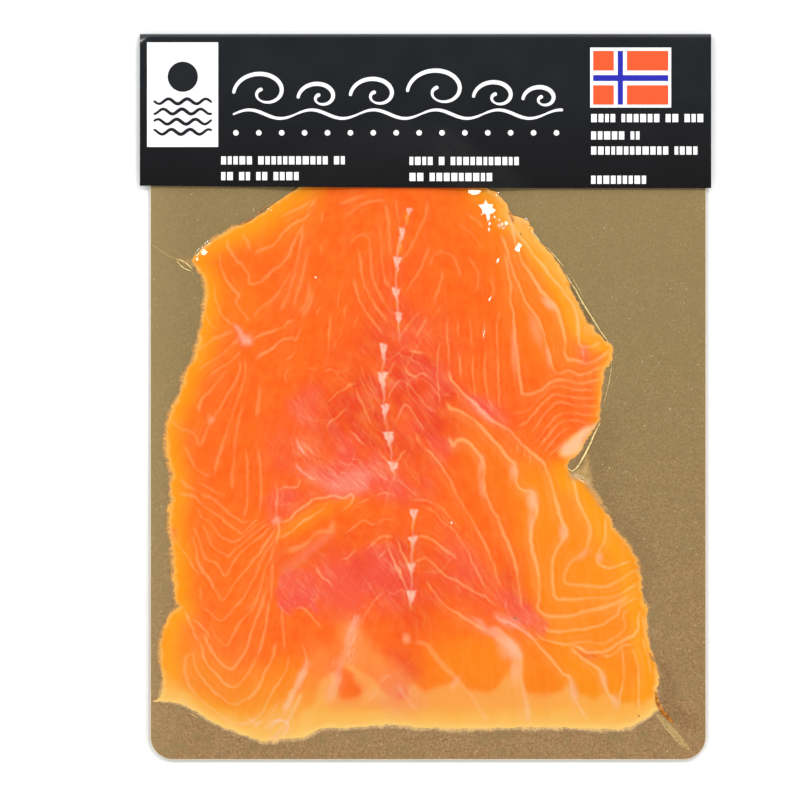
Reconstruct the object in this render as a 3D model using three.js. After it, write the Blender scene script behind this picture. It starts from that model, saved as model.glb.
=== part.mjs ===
// A flat skin pack of sliced smoked salmon: three overlapping slices on a stiff card, a clear film drawn
// down over them, and a header card folded over the top edge.
// Millimetres. X runs across the pack, Y up towards the header and Z out of its face; the pack lies on
// its back with the origin under its middle.
import * as THREE from 'three';

// ---------------------------------------------------------------- driving dimensions
const PACK_LENGTH = 222.2;
const GAP = 0.3;

const HEADER_WIDTH = 174.2;
const HEADER_HEIGHT = 46.9;
const HEADER_THICKNESS = 0.3;
// The front panel's lower edge dips to the right, and is down at its lowest at this share of the width.
const HEADER_EDGE_DIP = 1.1;
const HEADER_DIP_FULL = 0.7;
// The stiff front panel stays up this far round what lifts it, then falls away at this slope.
const HEADER_REACH = 7;
const HEADER_SLOPE = 0.22;

const CARD_WIDTH = 169.6;
const CARD_THICKNESS = 0.8;
const CARD_CORNER_RADIUS = 7;
const CARD_SIDE_SHIFT = 0.8;
const CARD_TOP_CLEARANCE = 0.7;
const CARD_CORNER_STEPS = 6;

const FILM_THICKNESS = 0.2;
const FILM_MARGIN_LEFT = 1.7;
const FILM_MARGIN_RIGHT = 0.9;
const FILM_MARGIN_BOTTOM = 0.8;
const FILM_MARGIN_DROP = 0.4;
const FILM_LEAST_MARGIN = 0.05;
// The left margin starts at this height of the face and is at its full width this much lower.
const FILM_TAPER_TOP = 40;
const FILM_TAPER_LENGTH = 110;
// The film comes down to the card this far out from the fish, and no nearer than the inset to its edge.
const FILM_FOOT = 2.5;
const FILM_FOOT_INSET = 0.4;
const FILM_LONGEST_STRETCH = 40;

const FISH_THICKNESS = 3.8;
const FISH_RIM_THICKNESS = 1.2;
const FISH_RIM_WIDTH = 7;
// The fish's top rises and falls in a slow wave, with these lengths for one radian of it.
const FISH_WAVE = 0.25;
const FISH_WAVE_ACROSS = 17;
const FISH_WAVE_DOWN = 23;
const SLICE_TIP = 0.4;
const SLICE_OVERLAP = 13;
const LAST_OVERLAP_AT_CORNER = 3;

// ---------------------------------------------------------------- heights of the stack
const CARD_BOTTOM = HEADER_THICKNESS + GAP;
const CARD_TOP = CARD_BOTTOM + CARD_THICKNESS;
const FISH_BOTTOM = CARD_TOP + GAP;
const FILM_FLAT = CARD_TOP + GAP;

// ---------------------------------------------------------------- edges across the face
const PACK_TOP = PACK_LENGTH / 2;
const PACK_BOTTOM = -PACK_LENGTH / 2;
const CARD_LEFT = CARD_SIDE_SHIFT - CARD_WIDTH / 2;
const CARD_RIGHT = CARD_SIDE_SHIFT + CARD_WIDTH / 2;
const CARD_LOWER = PACK_BOTTOM + FILM_MARGIN_BOTTOM;
const CARD_UPPER = PACK_TOP - CARD_TOP_CLEARANCE;

// The fish's outline, as its two sides from the end under the header down to the bottom corners, and
// the curves that cross it: its hidden top end, the upper edges of the second and third slices, and
// the bottom edge.
const LEFT_SIDE = [
  [-30, 72], [-40, 64.3], [-50, 57], [-60, 51.5], [-67, 47], [-71.5, 42], [-67.2, 35.5], [-67.5, 27],
  [-70, 15], [-75, 2.5], [-79.2, -9], [-79.2, -17], [-77.6, -24], [-78, -27], [-77, -30.5],
  [-78.5, -36], [-77.2, -48], [-76.7, -60], [-75, -63.3], [-79, -67.5], [-81, -76], [-80.3, -89],
  [-82.6, -93],
];
const RIGHT_SIDE = [
  [13, 72], [20.5, 63.5], [24, 60], [30.5, 54], [39, 43.5], [46.5, 30], [51.5, 21], [57.3, 15],
  [55.5, 9.5], [53.5, 0], [53.2, -7], [49.5, -12.5], [43.3, -20], [47, -24.5], [54, -32.5],
  [61, -42], [65, -50.5], [66, -59], [67.7, -66], [67.7, -72], [70, -80], [71.2, -86], [70.5, -90],
  [72, -94],
];
const TOP_END = [[-30, 72], [-22, 77.5], [-8, 80], [5, 78], [13, 72]];
const SECOND_SLICE_EDGE = [
  [-77, -30.5], [-60, -31], [-48, -24], [-40, -8], [-31, 6], [-20, 16], [-12, 18.5], [0, 13],
  [9, 5.5], [20, -5], [30, -14.5], [36, -17.5], [43.3, -20],
];
const THIRD_SLICE_EDGE = [
  [-75, -63.3], [-60, -55], [-47, -41], [-40, -35.5], [-31, -31], [-12, -28.5], [0, -31], [10, -42],
  [20, -58], [33, -72], [46, -79], [58, -82], [70, -82],
];
const BOTTOM_EDGE = [
  [-82.6, -93], [-77, -93.2], [-70, -96.2], [-60, -101.5], [-48, -105], [-38, -103.6], [-30, -100.6],
  [-20, -101], [-10, -99.8], [0, -100.6], [20, -101], [57, -101.3], [63, -100.8], [72, -94],
];

// Cells across the fish, and down each band between two of the curves above.
const COLUMNS = 16;
const BAND_ROWS = { top: 14, firstOverlap: 5, middle: 6, secondOverlap: 4, bottom: 9 };

// Steps along the header's section, and columns across its width.
const HEADER_COLUMNS = 26;
const HEADER_BACK_ROWS = 3;
const HEADER_FOLD_STEPS = 6;
const HEADER_FRONT_ROWS = 9;

// ---------------------------------------------------------------- colours
const MATERIALS = {
  header: { color: 0x2b2d31, roughness: 0.25, metalness: 0 },
  card: { color: 0x9b845a, roughness: 0.4, metalness: 0.6 },
  upperSlice: { color: 0xff7a33, roughness: 0.35, metalness: 0 },
  middleSlice: { color: 0xff6a30, roughness: 0.35, metalness: 0 },
  lowerSlice: { color: 0xff8a38, roughness: 0.35, metalness: 0 },
  film: { color: 0xf2f2ee, roughness: 0.1, metalness: 0, transparent: true, opacity: 0.3 },
};

// ---------------------------------------------------------------- small helpers
const lerp = THREE.MathUtils.lerp;
const clamp = THREE.MathUtils.clamp;

// The value at place `at` of a line through points, read from coordinate `from` to coordinate `to`.
function along(points, at, from, to) {
  const rising = points[points.length - 1][from] > points[0][from];
  const isBefore = (point) => (rising ? point[from] < at : point[from] > at);
  const next = clamp(points.filter(isBefore).length, 1, points.length - 1);
  const [a, b] = [points[next - 1], points[next]];
  return lerp(a[to], b[to], clamp((at - a[from]) / (b[from] - a[from]), 0, 1));
}

function distanceToSegment(x, y, a, b) {
  const [dx, dy] = [b[0] - a[0], b[1] - a[1]];
  const t = clamp(((x - a[0]) * dx + (y - a[1]) * dy) / (dx * dx + dy * dy), 0, 1);
  return Math.hypot(x - a[0] - t * dx, y - a[1] - t * dy);
}

// A closed solid between an upper and a lower copy of one open sheet of triangles. Edges that only one
// triangle uses are the sheet's rim, and each gets a wall.
function sheetSolid(upper, lower, faces) {
  const count = upper.length;
  const edgeUse = new Map();
  const faceEdges = ([a, b, c]) => [[a, b], [b, c], [c, a]];
  for (const face of faces) {
    for (const [a, b] of faceEdges(face)) {
      const key = a < b ? `${a} ${b}` : `${b} ${a}`;
      edgeUse.set(key, edgeUse.has(key) ? null : [a, b]);
    }
  }
  const index = [];
  for (const [a, b, c] of faces) {
    index.push(a, b, c, c + count, b + count, a + count);
  }
  for (const rim of edgeUse.values()) {
    if (rim) {
      const [a, b] = rim;
      index.push(a, a + count, b, b, a + count, b + count);
    }
  }
  const geometry = new THREE.BufferGeometry();
  geometry.setAttribute('position', new THREE.Float32BufferAttribute([...upper, ...lower].flat(), 3));
  geometry.setIndex(index);
  geometry.computeVertexNormals();
  return geometry;
}

// Triangles of a grid that holds `across` + 1 points in each row, seen with the rows running down.
function gridFaces(across, firstRow, lastRow) {
  const faces = [];
  for (let row = firstRow; row < lastRow; row += 1) {
    for (let column = 0; column < across; column += 1) {
      const a = row * (across + 1) + column;
      const b = a + across + 1;
      faces.push([a, b, b + 1], [a, b + 1, a + 1]);
    }
  }
  return faces;
}

// ---------------------------------------------------------------- the fish's grid
// A cross curve of the fish, by its ends on the two sides and its height at a place across.
function crossCurve(points) {
  return {
    leftY: points[0][1],
    rightY: points[points.length - 1][1],
    heightAt: (x) => along(points, x, 0, 1),
  };
}

function lowered(curve, drop, rightDrop) {
  const rightX = along(RIGHT_SIDE, curve.rightY, 1, 0);
  const leftX = along(LEFT_SIDE, curve.leftY, 1, 0);
  const dropAt = (x) => lerp(drop, rightDrop, clamp((x - leftX) / (rightX - leftX), 0, 1) ** 3);
  return {
    leftY: curve.leftY - drop,
    rightY: curve.rightY - rightDrop,
    heightAt: (x) => curve.heightAt(x) - dropAt(x),
  };
}

// One row of grid points, part of the way from one cross curve to the next.
function rowBetween(above, below, share) {
  const leftY = lerp(above.leftY, below.leftY, share);
  const rightY = lerp(above.rightY, below.rightY, share);
  const leftX = along(LEFT_SIDE, leftY, 1, 0);
  const rightX = along(RIGHT_SIDE, rightY, 1, 0);
  const spanX = (curve, across) => lerp(
    along(LEFT_SIDE, curve.leftY, 1, 0), along(RIGHT_SIDE, curve.rightY, 1, 0), across,
  );
  return Array.from({ length: COLUMNS + 1 }, (_, column) => {
    const across = (1 - Math.cos((Math.PI * column) / COLUMNS)) / 2;
    const upper = above.heightAt(spanX(above, across));
    const lower = below.heightAt(spanX(below, across));
    return [lerp(leftX, rightX, across), lerp(upper, lower, share)];
  });
}

function buildGrid() {
  const second = crossCurve(SECOND_SLICE_EDGE);
  const third = crossCurve(THIRD_SLICE_EDGE);
  const curves = [
    crossCurve(TOP_END), second, lowered(second, SLICE_OVERLAP, SLICE_OVERLAP),
    third, lowered(third, SLICE_OVERLAP, LAST_OVERLAP_AT_CORNER), crossCurve(BOTTOM_EDGE),
  ];
  const counts = Object.values(BAND_ROWS);
  const closerToTop = (share) => 1 - Math.cos((share * Math.PI) / 2);
  const closerToBottom = (share) => Math.sin((share * Math.PI) / 2);
  const even = (share) => share;
  const spacing = [closerToTop, even, even, even, closerToBottom];
  const rows = [rowBetween(curves[0], curves[1], 0)];
  const curveRow = [0];
  counts.forEach((count, band) => {
    for (let step = 1; step <= count; step += 1) {
      rows.push(rowBetween(curves[band], curves[band + 1], spacing[band](step / count)));
    }
    curveRow.push(rows.length - 1);
  });
  return { rows, curveRow };
}

const { rows: ROWS, curveRow: CURVE_ROW } = buildGrid();
const [TOP_ROW, SECOND_START, FIRST_STOP, THIRD_START, SECOND_STOP, BOTTOM_ROW] = CURVE_ROW;
const GRID = ROWS.flat();

// The grid's rim, counterclockwise seen from above, as indices into GRID.
function rimIndices() {
  const at = (row, column) => row * (COLUMNS + 1) + column;
  const rim = [];
  for (let row = TOP_ROW; row < BOTTOM_ROW; row += 1) rim.push(at(row, 0));
  for (let column = 0; column < COLUMNS; column += 1) rim.push(at(BOTTOM_ROW, column));
  for (let row = BOTTOM_ROW; row > TOP_ROW; row -= 1) rim.push(at(row, COLUMNS));
  for (let column = COLUMNS; column > 0; column -= 1) rim.push(at(TOP_ROW, column));
  return rim;
}

const RIM = rimIndices();

function distanceToRim(x, y) {
  return Math.min(...RIM.map((start, i) => {
    const end = RIM[(i + 1) % RIM.length];
    return distanceToSegment(x, y, GRID[start], GRID[end]);
  }));
}

// Top of the fish: thin at its rim, rising to a gently waved plateau.
const FISH_TOP = GRID.map(([x, y]) => {
  const share = THREE.MathUtils.smootherstep(distanceToRim(x, y), -FISH_RIM_WIDTH / 4, FISH_RIM_WIDTH);
  const wave = FISH_WAVE * Math.sin(x / FISH_WAVE_ACROSS) * Math.cos(y / FISH_WAVE_DOWN);
  return FISH_BOTTOM + lerp(FISH_RIM_THICKNESS, FISH_THICKNESS + wave, share);
});

// ---------------------------------------------------------------- slices
// Where one slice runs on under the next it thins out to a tip, and the next lies on it.
function hiddenTop(start, stop) {
  return (point) => {
    const row = Math.floor(point / (COLUMNS + 1));
    const share = (row - start) / (stop - start);
    const high = FISH_TOP[point] - SLICE_TIP - GAP;
    return lerp(high, FISH_BOTTOM + SLICE_TIP, share);
  };
}

const FIRST_HIDDEN_TOP = hiddenTop(SECOND_START, FIRST_STOP);
const SECOND_HIDDEN_TOP = hiddenTop(THIRD_START, SECOND_STOP);

function sliceSolid(firstRow, lastRow, topOf, bottomOf) {
  const first = firstRow * (COLUMNS + 1);
  const points = GRID.slice(first, (lastRow + 1) * (COLUMNS + 1));
  const upper = points.map(([x, y], i) => [x, y, topOf(first + i)]);
  const lower = points.map(([x, y], i) => [x, y, bottomOf(first + i)]);
  return sheetSolid(upper, lower, gridFaces(COLUMNS, 0, lastRow - firstRow));
}

const startOfRow = (row) => row * (COLUMNS + 1);

function upperSlice() {
  const top = (i) => (i < startOfRow(SECOND_START) ? FISH_TOP[i] : FIRST_HIDDEN_TOP(i));
  return sliceSolid(TOP_ROW, FIRST_STOP, top, () => FISH_BOTTOM);
}

function middleSlice() {
  const top = (i) => (i < startOfRow(THIRD_START) ? FISH_TOP[i] : SECOND_HIDDEN_TOP(i));
  const bottom = (i) => (i < startOfRow(FIRST_STOP + 1) ? FIRST_HIDDEN_TOP(i) + GAP : FISH_BOTTOM);
  return sliceSolid(SECOND_START, SECOND_STOP, top, bottom);
}

function lowerSlice() {
  const top = (i) => FISH_TOP[i];
  const bottom = (i) => (i < startOfRow(SECOND_STOP + 1) ? SECOND_HIDDEN_TOP(i) + GAP : FISH_BOTTOM);
  return sliceSolid(THIRD_START, BOTTOM_ROW, top, bottom);
}

// ---------------------------------------------------------------- card
// The card's outline, counterclockwise, with its straight sides split into stretches no longer than
// longestStretch.
function cardOutline(longestStretch) {
  const radius = CARD_CORNER_RADIUS;
  const corners = [
    [CARD_LEFT + radius, CARD_LOWER + radius], [CARD_RIGHT - radius, CARD_LOWER + radius],
    [CARD_RIGHT - radius, CARD_UPPER - radius], [CARD_LEFT + radius, CARD_UPPER - radius],
  ];
  const arcShares = Array.from({ length: CARD_CORNER_STEPS + 1 }, (_, step) => step / CARD_CORNER_STEPS);
  const arcs = corners.flatMap(([x, y], corner) => arcShares.map((share) => {
    const angle = (2 + corner + share) * (Math.PI / 2);
    return [x + radius * Math.cos(angle), y + radius * Math.sin(angle)];
  }));
  return arcs.flatMap(([x, y], i) => {
    const [nextX, nextY] = arcs[(i + 1) % arcs.length];
    const steps = Math.ceil(Math.hypot(nextX - x, nextY - y) / longestStretch);
    return Array.from({ length: steps }, (_, k) => [lerp(x, nextX, k / steps), lerp(y, nextY, k / steps)]);
  });
}

const toVectors = (points) => points.map(([x, y]) => new THREE.Vector2(x, y));

function goldCard() {
  const shape = new THREE.Shape(toVectors(cardOutline(PACK_LENGTH)));
  const geometry = new THREE.ExtrudeGeometry(shape, { depth: CARD_THICKNESS, bevelEnabled: false });
  return geometry.translate(0, 0, CARD_BOTTOM);
}

// ---------------------------------------------------------------- film
// The film lies on the fish, comes down to the card at its foot, and runs out flat past the card's
// edges, where it was trimmed.
function filmMargin([x, y]) {
  const taper = clamp((FILM_TAPER_TOP - y) / FILM_TAPER_LENGTH, 0, 1);
  const across = clamp((x - CARD_LEFT) / CARD_WIDTH, 0, 1);
  const belowCorner = clamp((CARD_LOWER + CARD_CORNER_RADIUS - y) / CARD_CORNER_RADIUS, 0, 1);
  const atTop = y > CARD_UPPER - CARD_CORNER_RADIUS;
  const sideways = atTop ? 0 : lerp(-FILM_MARGIN_LEFT * taper, FILM_MARGIN_RIGHT, across);
  return [x + sideways, y - FILM_MARGIN_BOTTOM * belowCorner];
}

// Where the film reaches the card beside a rim point of the fish, straight out of its side.
function filmFoot(point) {
  const row = Math.floor(point / (COLUMNS + 1));
  const column = point % (COLUMNS + 1);
  const outX = column === 0 ? -1 : Number(column === COLUMNS);
  const outY = row === BOTTOM_ROW ? -1 : Number(row === TOP_ROW);
  const scale = FILM_FOOT / Math.hypot(outX, outY);
  return [
    clamp(GRID[point][0] + outX * scale, CARD_LEFT + FILM_FOOT_INSET, CARD_RIGHT - FILM_FOOT_INSET),
    clamp(GRID[point][1] + outY * scale, CARD_LOWER + FILM_FOOT_INSET, CARD_UPPER - FILM_FOOT_INSET),
  ];
}

// The flat of the film, between its foot round the fish and the card's edge. Both loops' points are
// numbered from where each loop starts in the film's list of points.
function filmFlatFaces(cardEdge, foot, edgeStart, footStart) {
  const loops = [...cardEdge, ...foot];
  return THREE.ShapeUtils.triangulateShape(toVectors(cardEdge), [toVectors(foot)]).map((face) => {
    const [a, b, c] = face.map((i) => loops[i]);
    const turn = (b[0] - a[0]) * (c[1] - a[1]) - (b[1] - a[1]) * (c[0] - a[0]);
    const upward = turn > 0 ? face : [...face].reverse();
    return upward.map((i) => (i < cardEdge.length ? edgeStart + i : footStart + i - cardEdge.length));
  });
}

// The strip from the card's edge to the trimmed edge. Where there is no margin the two edges meet.
function filmMarginFaces(cardEdge, trimmed, edgeStart, trimStart) {
  const margins = cardEdge.map(([x, y], i) => Math.hypot(x - trimmed[i][0], y - trimmed[i][1]));
  const outer = (i) => (margins[i] > FILM_LEAST_MARGIN ? trimStart + i : edgeStart + i);
  return cardEdge.flatMap((_, i) => {
    const next = (i + 1) % cardEdge.length;
    const faces = [
      [edgeStart + i, outer(i), outer(next)],
      [edgeStart + i, outer(next), edgeStart + next],
    ];
    return faces.filter((face) => new Set(face).size === 3);
  });
}

function filmSkin() {
  const foot = RIM.map(filmFoot);
  const cardEdge = cardOutline(FILM_LONGEST_STRETCH);
  const trimmed = cardEdge.map(filmMargin);
  const places = [...GRID, ...foot, ...cardEdge, ...trimmed];
  const footStart = GRID.length;
  const edgeStart = footStart + foot.length;
  const trimStart = edgeStart + cardEdge.length;

  const slope = RIM.flatMap((point, i) => {
    const next = (i + 1) % RIM.length;
    return [[point, footStart + i, footStart + next], [point, footStart + next, RIM[next]]];
  });
  const faces = [
    ...gridFaces(COLUMNS, TOP_ROW, BOTTOM_ROW), ...slope,
    ...filmFlatFaces(cardEdge, foot, edgeStart, footStart),
    ...filmMarginFaces(cardEdge, trimmed, edgeStart, trimStart),
  ];
  const used = [...new Set(faces.flat())].sort((a, b) => a - b);
  const numberOf = new Map(used.map((old, i) => [old, i]));
  const underside = (i) => {
    if (i < footStart) return FISH_TOP[i] + GAP;
    return i < trimStart ? FILM_FLAT : FILM_FLAT - FILM_MARGIN_DROP;
  };
  const lower = used.map((i) => [...places[i], underside(i)]);
  const upper = lower.map(([x, y, z]) => [x, y, z + FILM_THICKNESS]);
  return sheetSolid(upper, lower, faces.map((face) => face.map((i) => numberOf.get(i))));
}

// ---------------------------------------------------------------- header
// A strip of card folded over the pack's top edge. Its back panel lies under the pack, and its front
// panel rests on the film and bends over the end of the fish.
const HEADER_FRONT = FILM_FLAT + FILM_THICKNESS + GAP + HEADER_THICKNESS / 2;
const HEADER_BACK = HEADER_THICKNESS / 2;
const HEADER_FOLD_RADIUS = (HEADER_FRONT - HEADER_BACK) / 2;
const HEADER_FOLD_Y = PACK_TOP - HEADER_THICKNESS / 2 - HEADER_FOLD_RADIUS;
const HEADER_EDGE_Y = PACK_TOP - HEADER_HEIGHT;

// Middle of the front panel: the stiff card spans the film, so it falls away slowly from what lifts it.
function headerFrontHeight(x, y) {
  const lifts = GRID.map(([pointX, pointY], i) => {
    const away = Math.max(0, Math.hypot(pointX - x, pointY - y) - HEADER_REACH);
    return FISH_TOP[i] + GAP - HEADER_SLOPE * away;
  });
  return Math.max(FILM_FLAT, ...lifts) - FILM_FLAT + HEADER_FRONT;
}

// The header's section at one place across, as points from the back panel's edge, round the fold and
// down to the front panel's edge. `offset` is the distance outwards from the middle of the card.
function headerSection(x, offset) {
  const across = (x + HEADER_WIDTH / 2) / HEADER_WIDTH;
  const dip = HEADER_EDGE_DIP * Math.sin((Math.min(across / HEADER_DIP_FULL, 1) * Math.PI) / 2);
  const steps = (count) => Array.from({ length: count + 1 }, (_, step) => step / count);
  const back = steps(HEADER_BACK_ROWS)
    .map((share) => [x, lerp(HEADER_EDGE_Y, HEADER_FOLD_Y, share), HEADER_BACK - offset]);
  const radius = HEADER_FOLD_RADIUS + offset;
  const fold = steps(HEADER_FOLD_STEPS).slice(1, -1).map((share) => {
    const angle = (share - 0.5) * Math.PI;
    const z = HEADER_BACK + HEADER_FOLD_RADIUS + radius * Math.sin(angle);
    return [x, HEADER_FOLD_Y + radius * Math.cos(angle), z];
  });
  const front = steps(HEADER_FRONT_ROWS).map((share) => {
    const y = lerp(HEADER_FOLD_Y, HEADER_EDGE_Y - dip, share);
    return [x, y, headerFrontHeight(x, y) + offset];
  });
  return [...back, ...fold, ...front];
}

function headerCard() {
  const columns = Array.from({ length: HEADER_COLUMNS + 1 }, (_, column) => (
    lerp(-HEADER_WIDTH / 2, HEADER_WIDTH / 2, column / HEADER_COLUMNS)
  ));
  const outside = columns.flatMap((x) => headerSection(x, HEADER_THICKNESS / 2));
  const inside = columns.flatMap((x) => headerSection(x, -HEADER_THICKNESS / 2));
  const across = outside.length / columns.length - 1;
  const faces = gridFaces(across, 0, HEADER_COLUMNS);
  return sheetSolid(outside, inside, faces.map(([a, b, c]) => [c, b, a]));
}

// ---------------------------------------------------------------- the pack
const pack = new THREE.Group();

function addPiece(name, geometry, look) {
  const mesh = new THREE.Mesh(geometry, new THREE.MeshStandardMaterial(look));
  mesh.name = name;
  pack.add(mesh);
}

addPiece('gold_card', goldCard(), MATERIALS.card);
addPiece('salmon_slice_upper', upperSlice(), MATERIALS.upperSlice);
addPiece('salmon_slice_middle', middleSlice(), MATERIALS.middleSlice);
addPiece('salmon_slice_lower', lowerSlice(), MATERIALS.lowerSlice);
addPiece('film_skin', filmSkin(), MATERIALS.film);
addPiece('header_card', headerCard(), MATERIALS.header);

export default pack;
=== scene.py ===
"""Looks of a flat skin pack of sliced smoked salmon: marbled slices on a gold card, clear film drawn
down over them, and a printed header card folded over the top edge.

Lengths are millimetres until a mesh is made. X runs across the pack, Y up to the header, Z out of its face.
"""

import math

import bpy
import numpy as np
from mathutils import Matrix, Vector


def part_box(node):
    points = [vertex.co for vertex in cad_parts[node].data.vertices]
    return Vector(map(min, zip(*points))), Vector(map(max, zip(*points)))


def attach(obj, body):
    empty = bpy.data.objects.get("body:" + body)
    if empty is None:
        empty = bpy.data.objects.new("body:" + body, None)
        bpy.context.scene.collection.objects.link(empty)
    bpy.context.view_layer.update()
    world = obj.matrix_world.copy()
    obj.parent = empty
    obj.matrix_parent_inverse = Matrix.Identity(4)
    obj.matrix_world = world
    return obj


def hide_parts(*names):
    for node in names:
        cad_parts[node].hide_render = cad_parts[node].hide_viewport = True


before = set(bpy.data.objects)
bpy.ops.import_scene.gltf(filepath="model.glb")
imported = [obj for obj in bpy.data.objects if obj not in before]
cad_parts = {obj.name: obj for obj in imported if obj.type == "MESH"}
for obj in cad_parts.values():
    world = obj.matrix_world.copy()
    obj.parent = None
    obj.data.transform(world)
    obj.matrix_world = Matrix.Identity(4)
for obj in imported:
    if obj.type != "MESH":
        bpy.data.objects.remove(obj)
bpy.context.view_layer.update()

MM = 0.001

# ---------------------------- sizes taken from the frame
(CARD_LEFT, CARD_LOWER, CARD_BOTTOM), (CARD_RIGHT, CARD_UPPER, CARD_TOP) = (
    [value / MM for value in corner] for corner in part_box("gold_card")
)
(HEADER_LEFT, _, _), (HEADER_RIGHT, PACK_TOP, _) = (
    [value / MM for value in corner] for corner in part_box("header_card")
)
FILM_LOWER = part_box("film_skin")[0][1] / MM
FISH_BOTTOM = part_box("salmon_slice_upper")[0][2] / MM

# ---------------------------- driving sizes
# The card's corners seen from above, and how far its edge is rounded over inward and up.
CARD_CORNER = 7.0
CARD_EDGE_ROUND = 0.22
CARD_EDGE_RISE = 0.08

# The fish is thick inside and thins to its rim over the bevel. The header presses this share of it flat.
FISH_THICKNESS = 3.3
FISH_RIM = 0.12
FISH_BEVEL = 17.0
UNDER_HEADER = 0.5
# It stands just over the card, so that no two faces share a plane.
FISH_FOOT = CARD_TOP + 0.02
# The thick flesh ends this far inside the outline, and thin torn flesh goes on from there.
TORN = 0.55
# A slice lies this much higher along its edge, fading out over a length, and is tucked under the next.
LAP = 0.08
LEAST_LAP = 0.05
LAP_LENGTH = 9.0
TUCK = 2.4
TUCK_DEPTH = 0.9

# The film's height over the fish, how far its margin runs past the card and droops, and the height over it
# of creases, webs, and the lowest point of a facet.
FILM_CLEARANCE = 0.12
FILM_BEYOND_LEFT, FILM_BEYOND_RIGHT = 1.7, 0.9
FILM_DROOP = 0.45
CREASE_RISE = 0.14
WEB_RISE = 0.1
FACET_RISE = 0.05

# The header's front panel rests on the fish for a reach round it, slopes down from there to lie on the film,
# and its lower edge dips toward the right.
HEADER_HEIGHT = 46.3
HEADER_THICKNESS = 0.3
HEADER_OVER_FISH = 0.38
HEADER_REACH = 7.0
HEADER_SLOPE = 0.11
HEADER_DIP = 0.75
# The upper left corner is bent down beyond a slanting line through this place.
BEND_X, BEND_Y = HEADER_LEFT + 1.2, 108.8
BEND_SLOPE = 0.24
CAD_FILM, CAD_GAP = 0.2, 0.3
HEADER_BACK = HEADER_THICKNESS / 2
HEADER_FLAT = CARD_TOP + CAD_GAP + CAD_FILM + CAD_GAP + HEADER_THICKNESS / 2
FOLD_RADIUS = (HEADER_FLAT - HEADER_BACK) / 2
FOLD_Y = PACK_TOP - HEADER_THICKNESS / 2 - FOLD_RADIUS
EDGE_Y = PACK_TOP - HEADER_HEIGHT
# Each layer of ink stands this much over the one below, and blocks of it have cells of about this size.
INK_STEP = 0.025
INK_CELL = 1.5

# The camera stands over one point of the face, so far up that one pixel of its picture is this wide.
PIXEL = 0.305
PICTURE_PIXELS = 800
CENTRE_X, CENTRE_Y = 425.5, 398.2
CAMERA_HEIGHT = 2.6
CAMERA_PLACE = (
    (PICTURE_PIXELS / 2 - CENTRE_X) * PIXEL * MM, (CENTRE_Y - PICTURE_PIXELS / 2) * PIXEL * MM,
    CAMERA_HEIGHT + CARD_TOP * MM,
)

# Soft boxes, as azimuth and elevation. The base colours allow for the light that falls on the face.
KEY_ANGLES, FILL_ANGLES = (57, 56), (135, 52)
LAMP_DISTANCE, LAMP_SIZE = 1.5, 0.14
KEY_POWER, FILL_POWER = 6, 3
LIGHT_LEVEL = 1.3

# ---------------------------- rasters
# Fields over the face of the pack are worked out on one raster, and meshes read them between its points.
STEP = 0.2
XS = np.arange(-88.0, 88.0 + STEP, STEP)
YS = np.arange(-112.0, 112.0 + STEP, STEP)
X, Y = np.meshgrid(XS, YS)


def between(grid, i, j, u, v):
    """Values of a grid between its points, u past column i and v past row j."""
    low = grid[j, i] * (1 - u) + grid[j, i + 1] * u
    high = grid[j + 1, i] * (1 - u) + grid[j + 1, i + 1] * u
    return low * (1 - v) + high * v


def sample(field, x, y):
    """Values of a raster at places between its points."""
    u = np.clip((np.asarray(x) - XS[0]) / STEP, 0, len(XS) - 1.001)
    v = np.clip((np.asarray(y) - YS[0]) / STEP, 0, len(YS) - 1.001)
    i, j = u.astype(int), v.astype(int)
    return between(field, i, j, u - i, v - j)


def smooth(value, start, end):
    """0 before start, 1 past end, and a soft rise between them."""
    t = np.clip((value - start) / (end - start), 0, 1)
    return t * t * (3 - 2 * t)


def blur(field, sigma):
    """The raster blurred by a bell of sigma mm."""
    fy = np.fft.fftfreq(field.shape[0], STEP)[:, None]
    fx = np.fft.rfftfreq(field.shape[1], STEP)[None, :]
    bell = np.exp(-2 * (math.pi * sigma) ** 2 * (fx * fx + fy * fy))
    return np.fft.irfft2(np.fft.rfft2(field) * bell, s=field.shape)


def noise(size, seed, stretch=1.0, angle=0.0):
    """Random lumps from -1 to 1, about `size` mm across and `stretch` times as long along `angle` degrees."""
    turn = math.radians(angle)
    u = (X * math.cos(turn) + Y * math.sin(turn)) / (size * stretch) + 400
    v = (Y * math.cos(turn) - X * math.sin(turn)) / size + 400
    i, j = np.floor(u).astype(int), np.floor(v).astype(int)
    rows, columns = int(v.max()) + 2 - j.min(), int(u.max()) + 2 - i.min()
    values = np.random.default_rng(seed).uniform(-1, 1, (rows, columns))
    return between(values, i - i.min(), j - j.min(), smooth(u - i, 0, 1), smooth(v - j, 0, 1))


def noise_along(places, size, seed):
    """Random lumps from -1 to 1 along a line."""
    t = np.asarray(places) / size
    knots = np.arange(math.floor(t.min()) - 1, math.ceil(t.max()) + 2)
    values = np.random.default_rng(seed).uniform(-1, 1, len(knots))
    i = np.floor(t).astype(int)
    share = smooth(t - i, 0, 1)
    i = i - knots[0]
    return values[i] * (1 - share) + values[i + 1] * share


def path(text):
    """Points from a line of text, as in "0,5 2.5,7"."""
    return np.array([[float(value) for value in pair.split(",")] for pair in text.split()])


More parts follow.
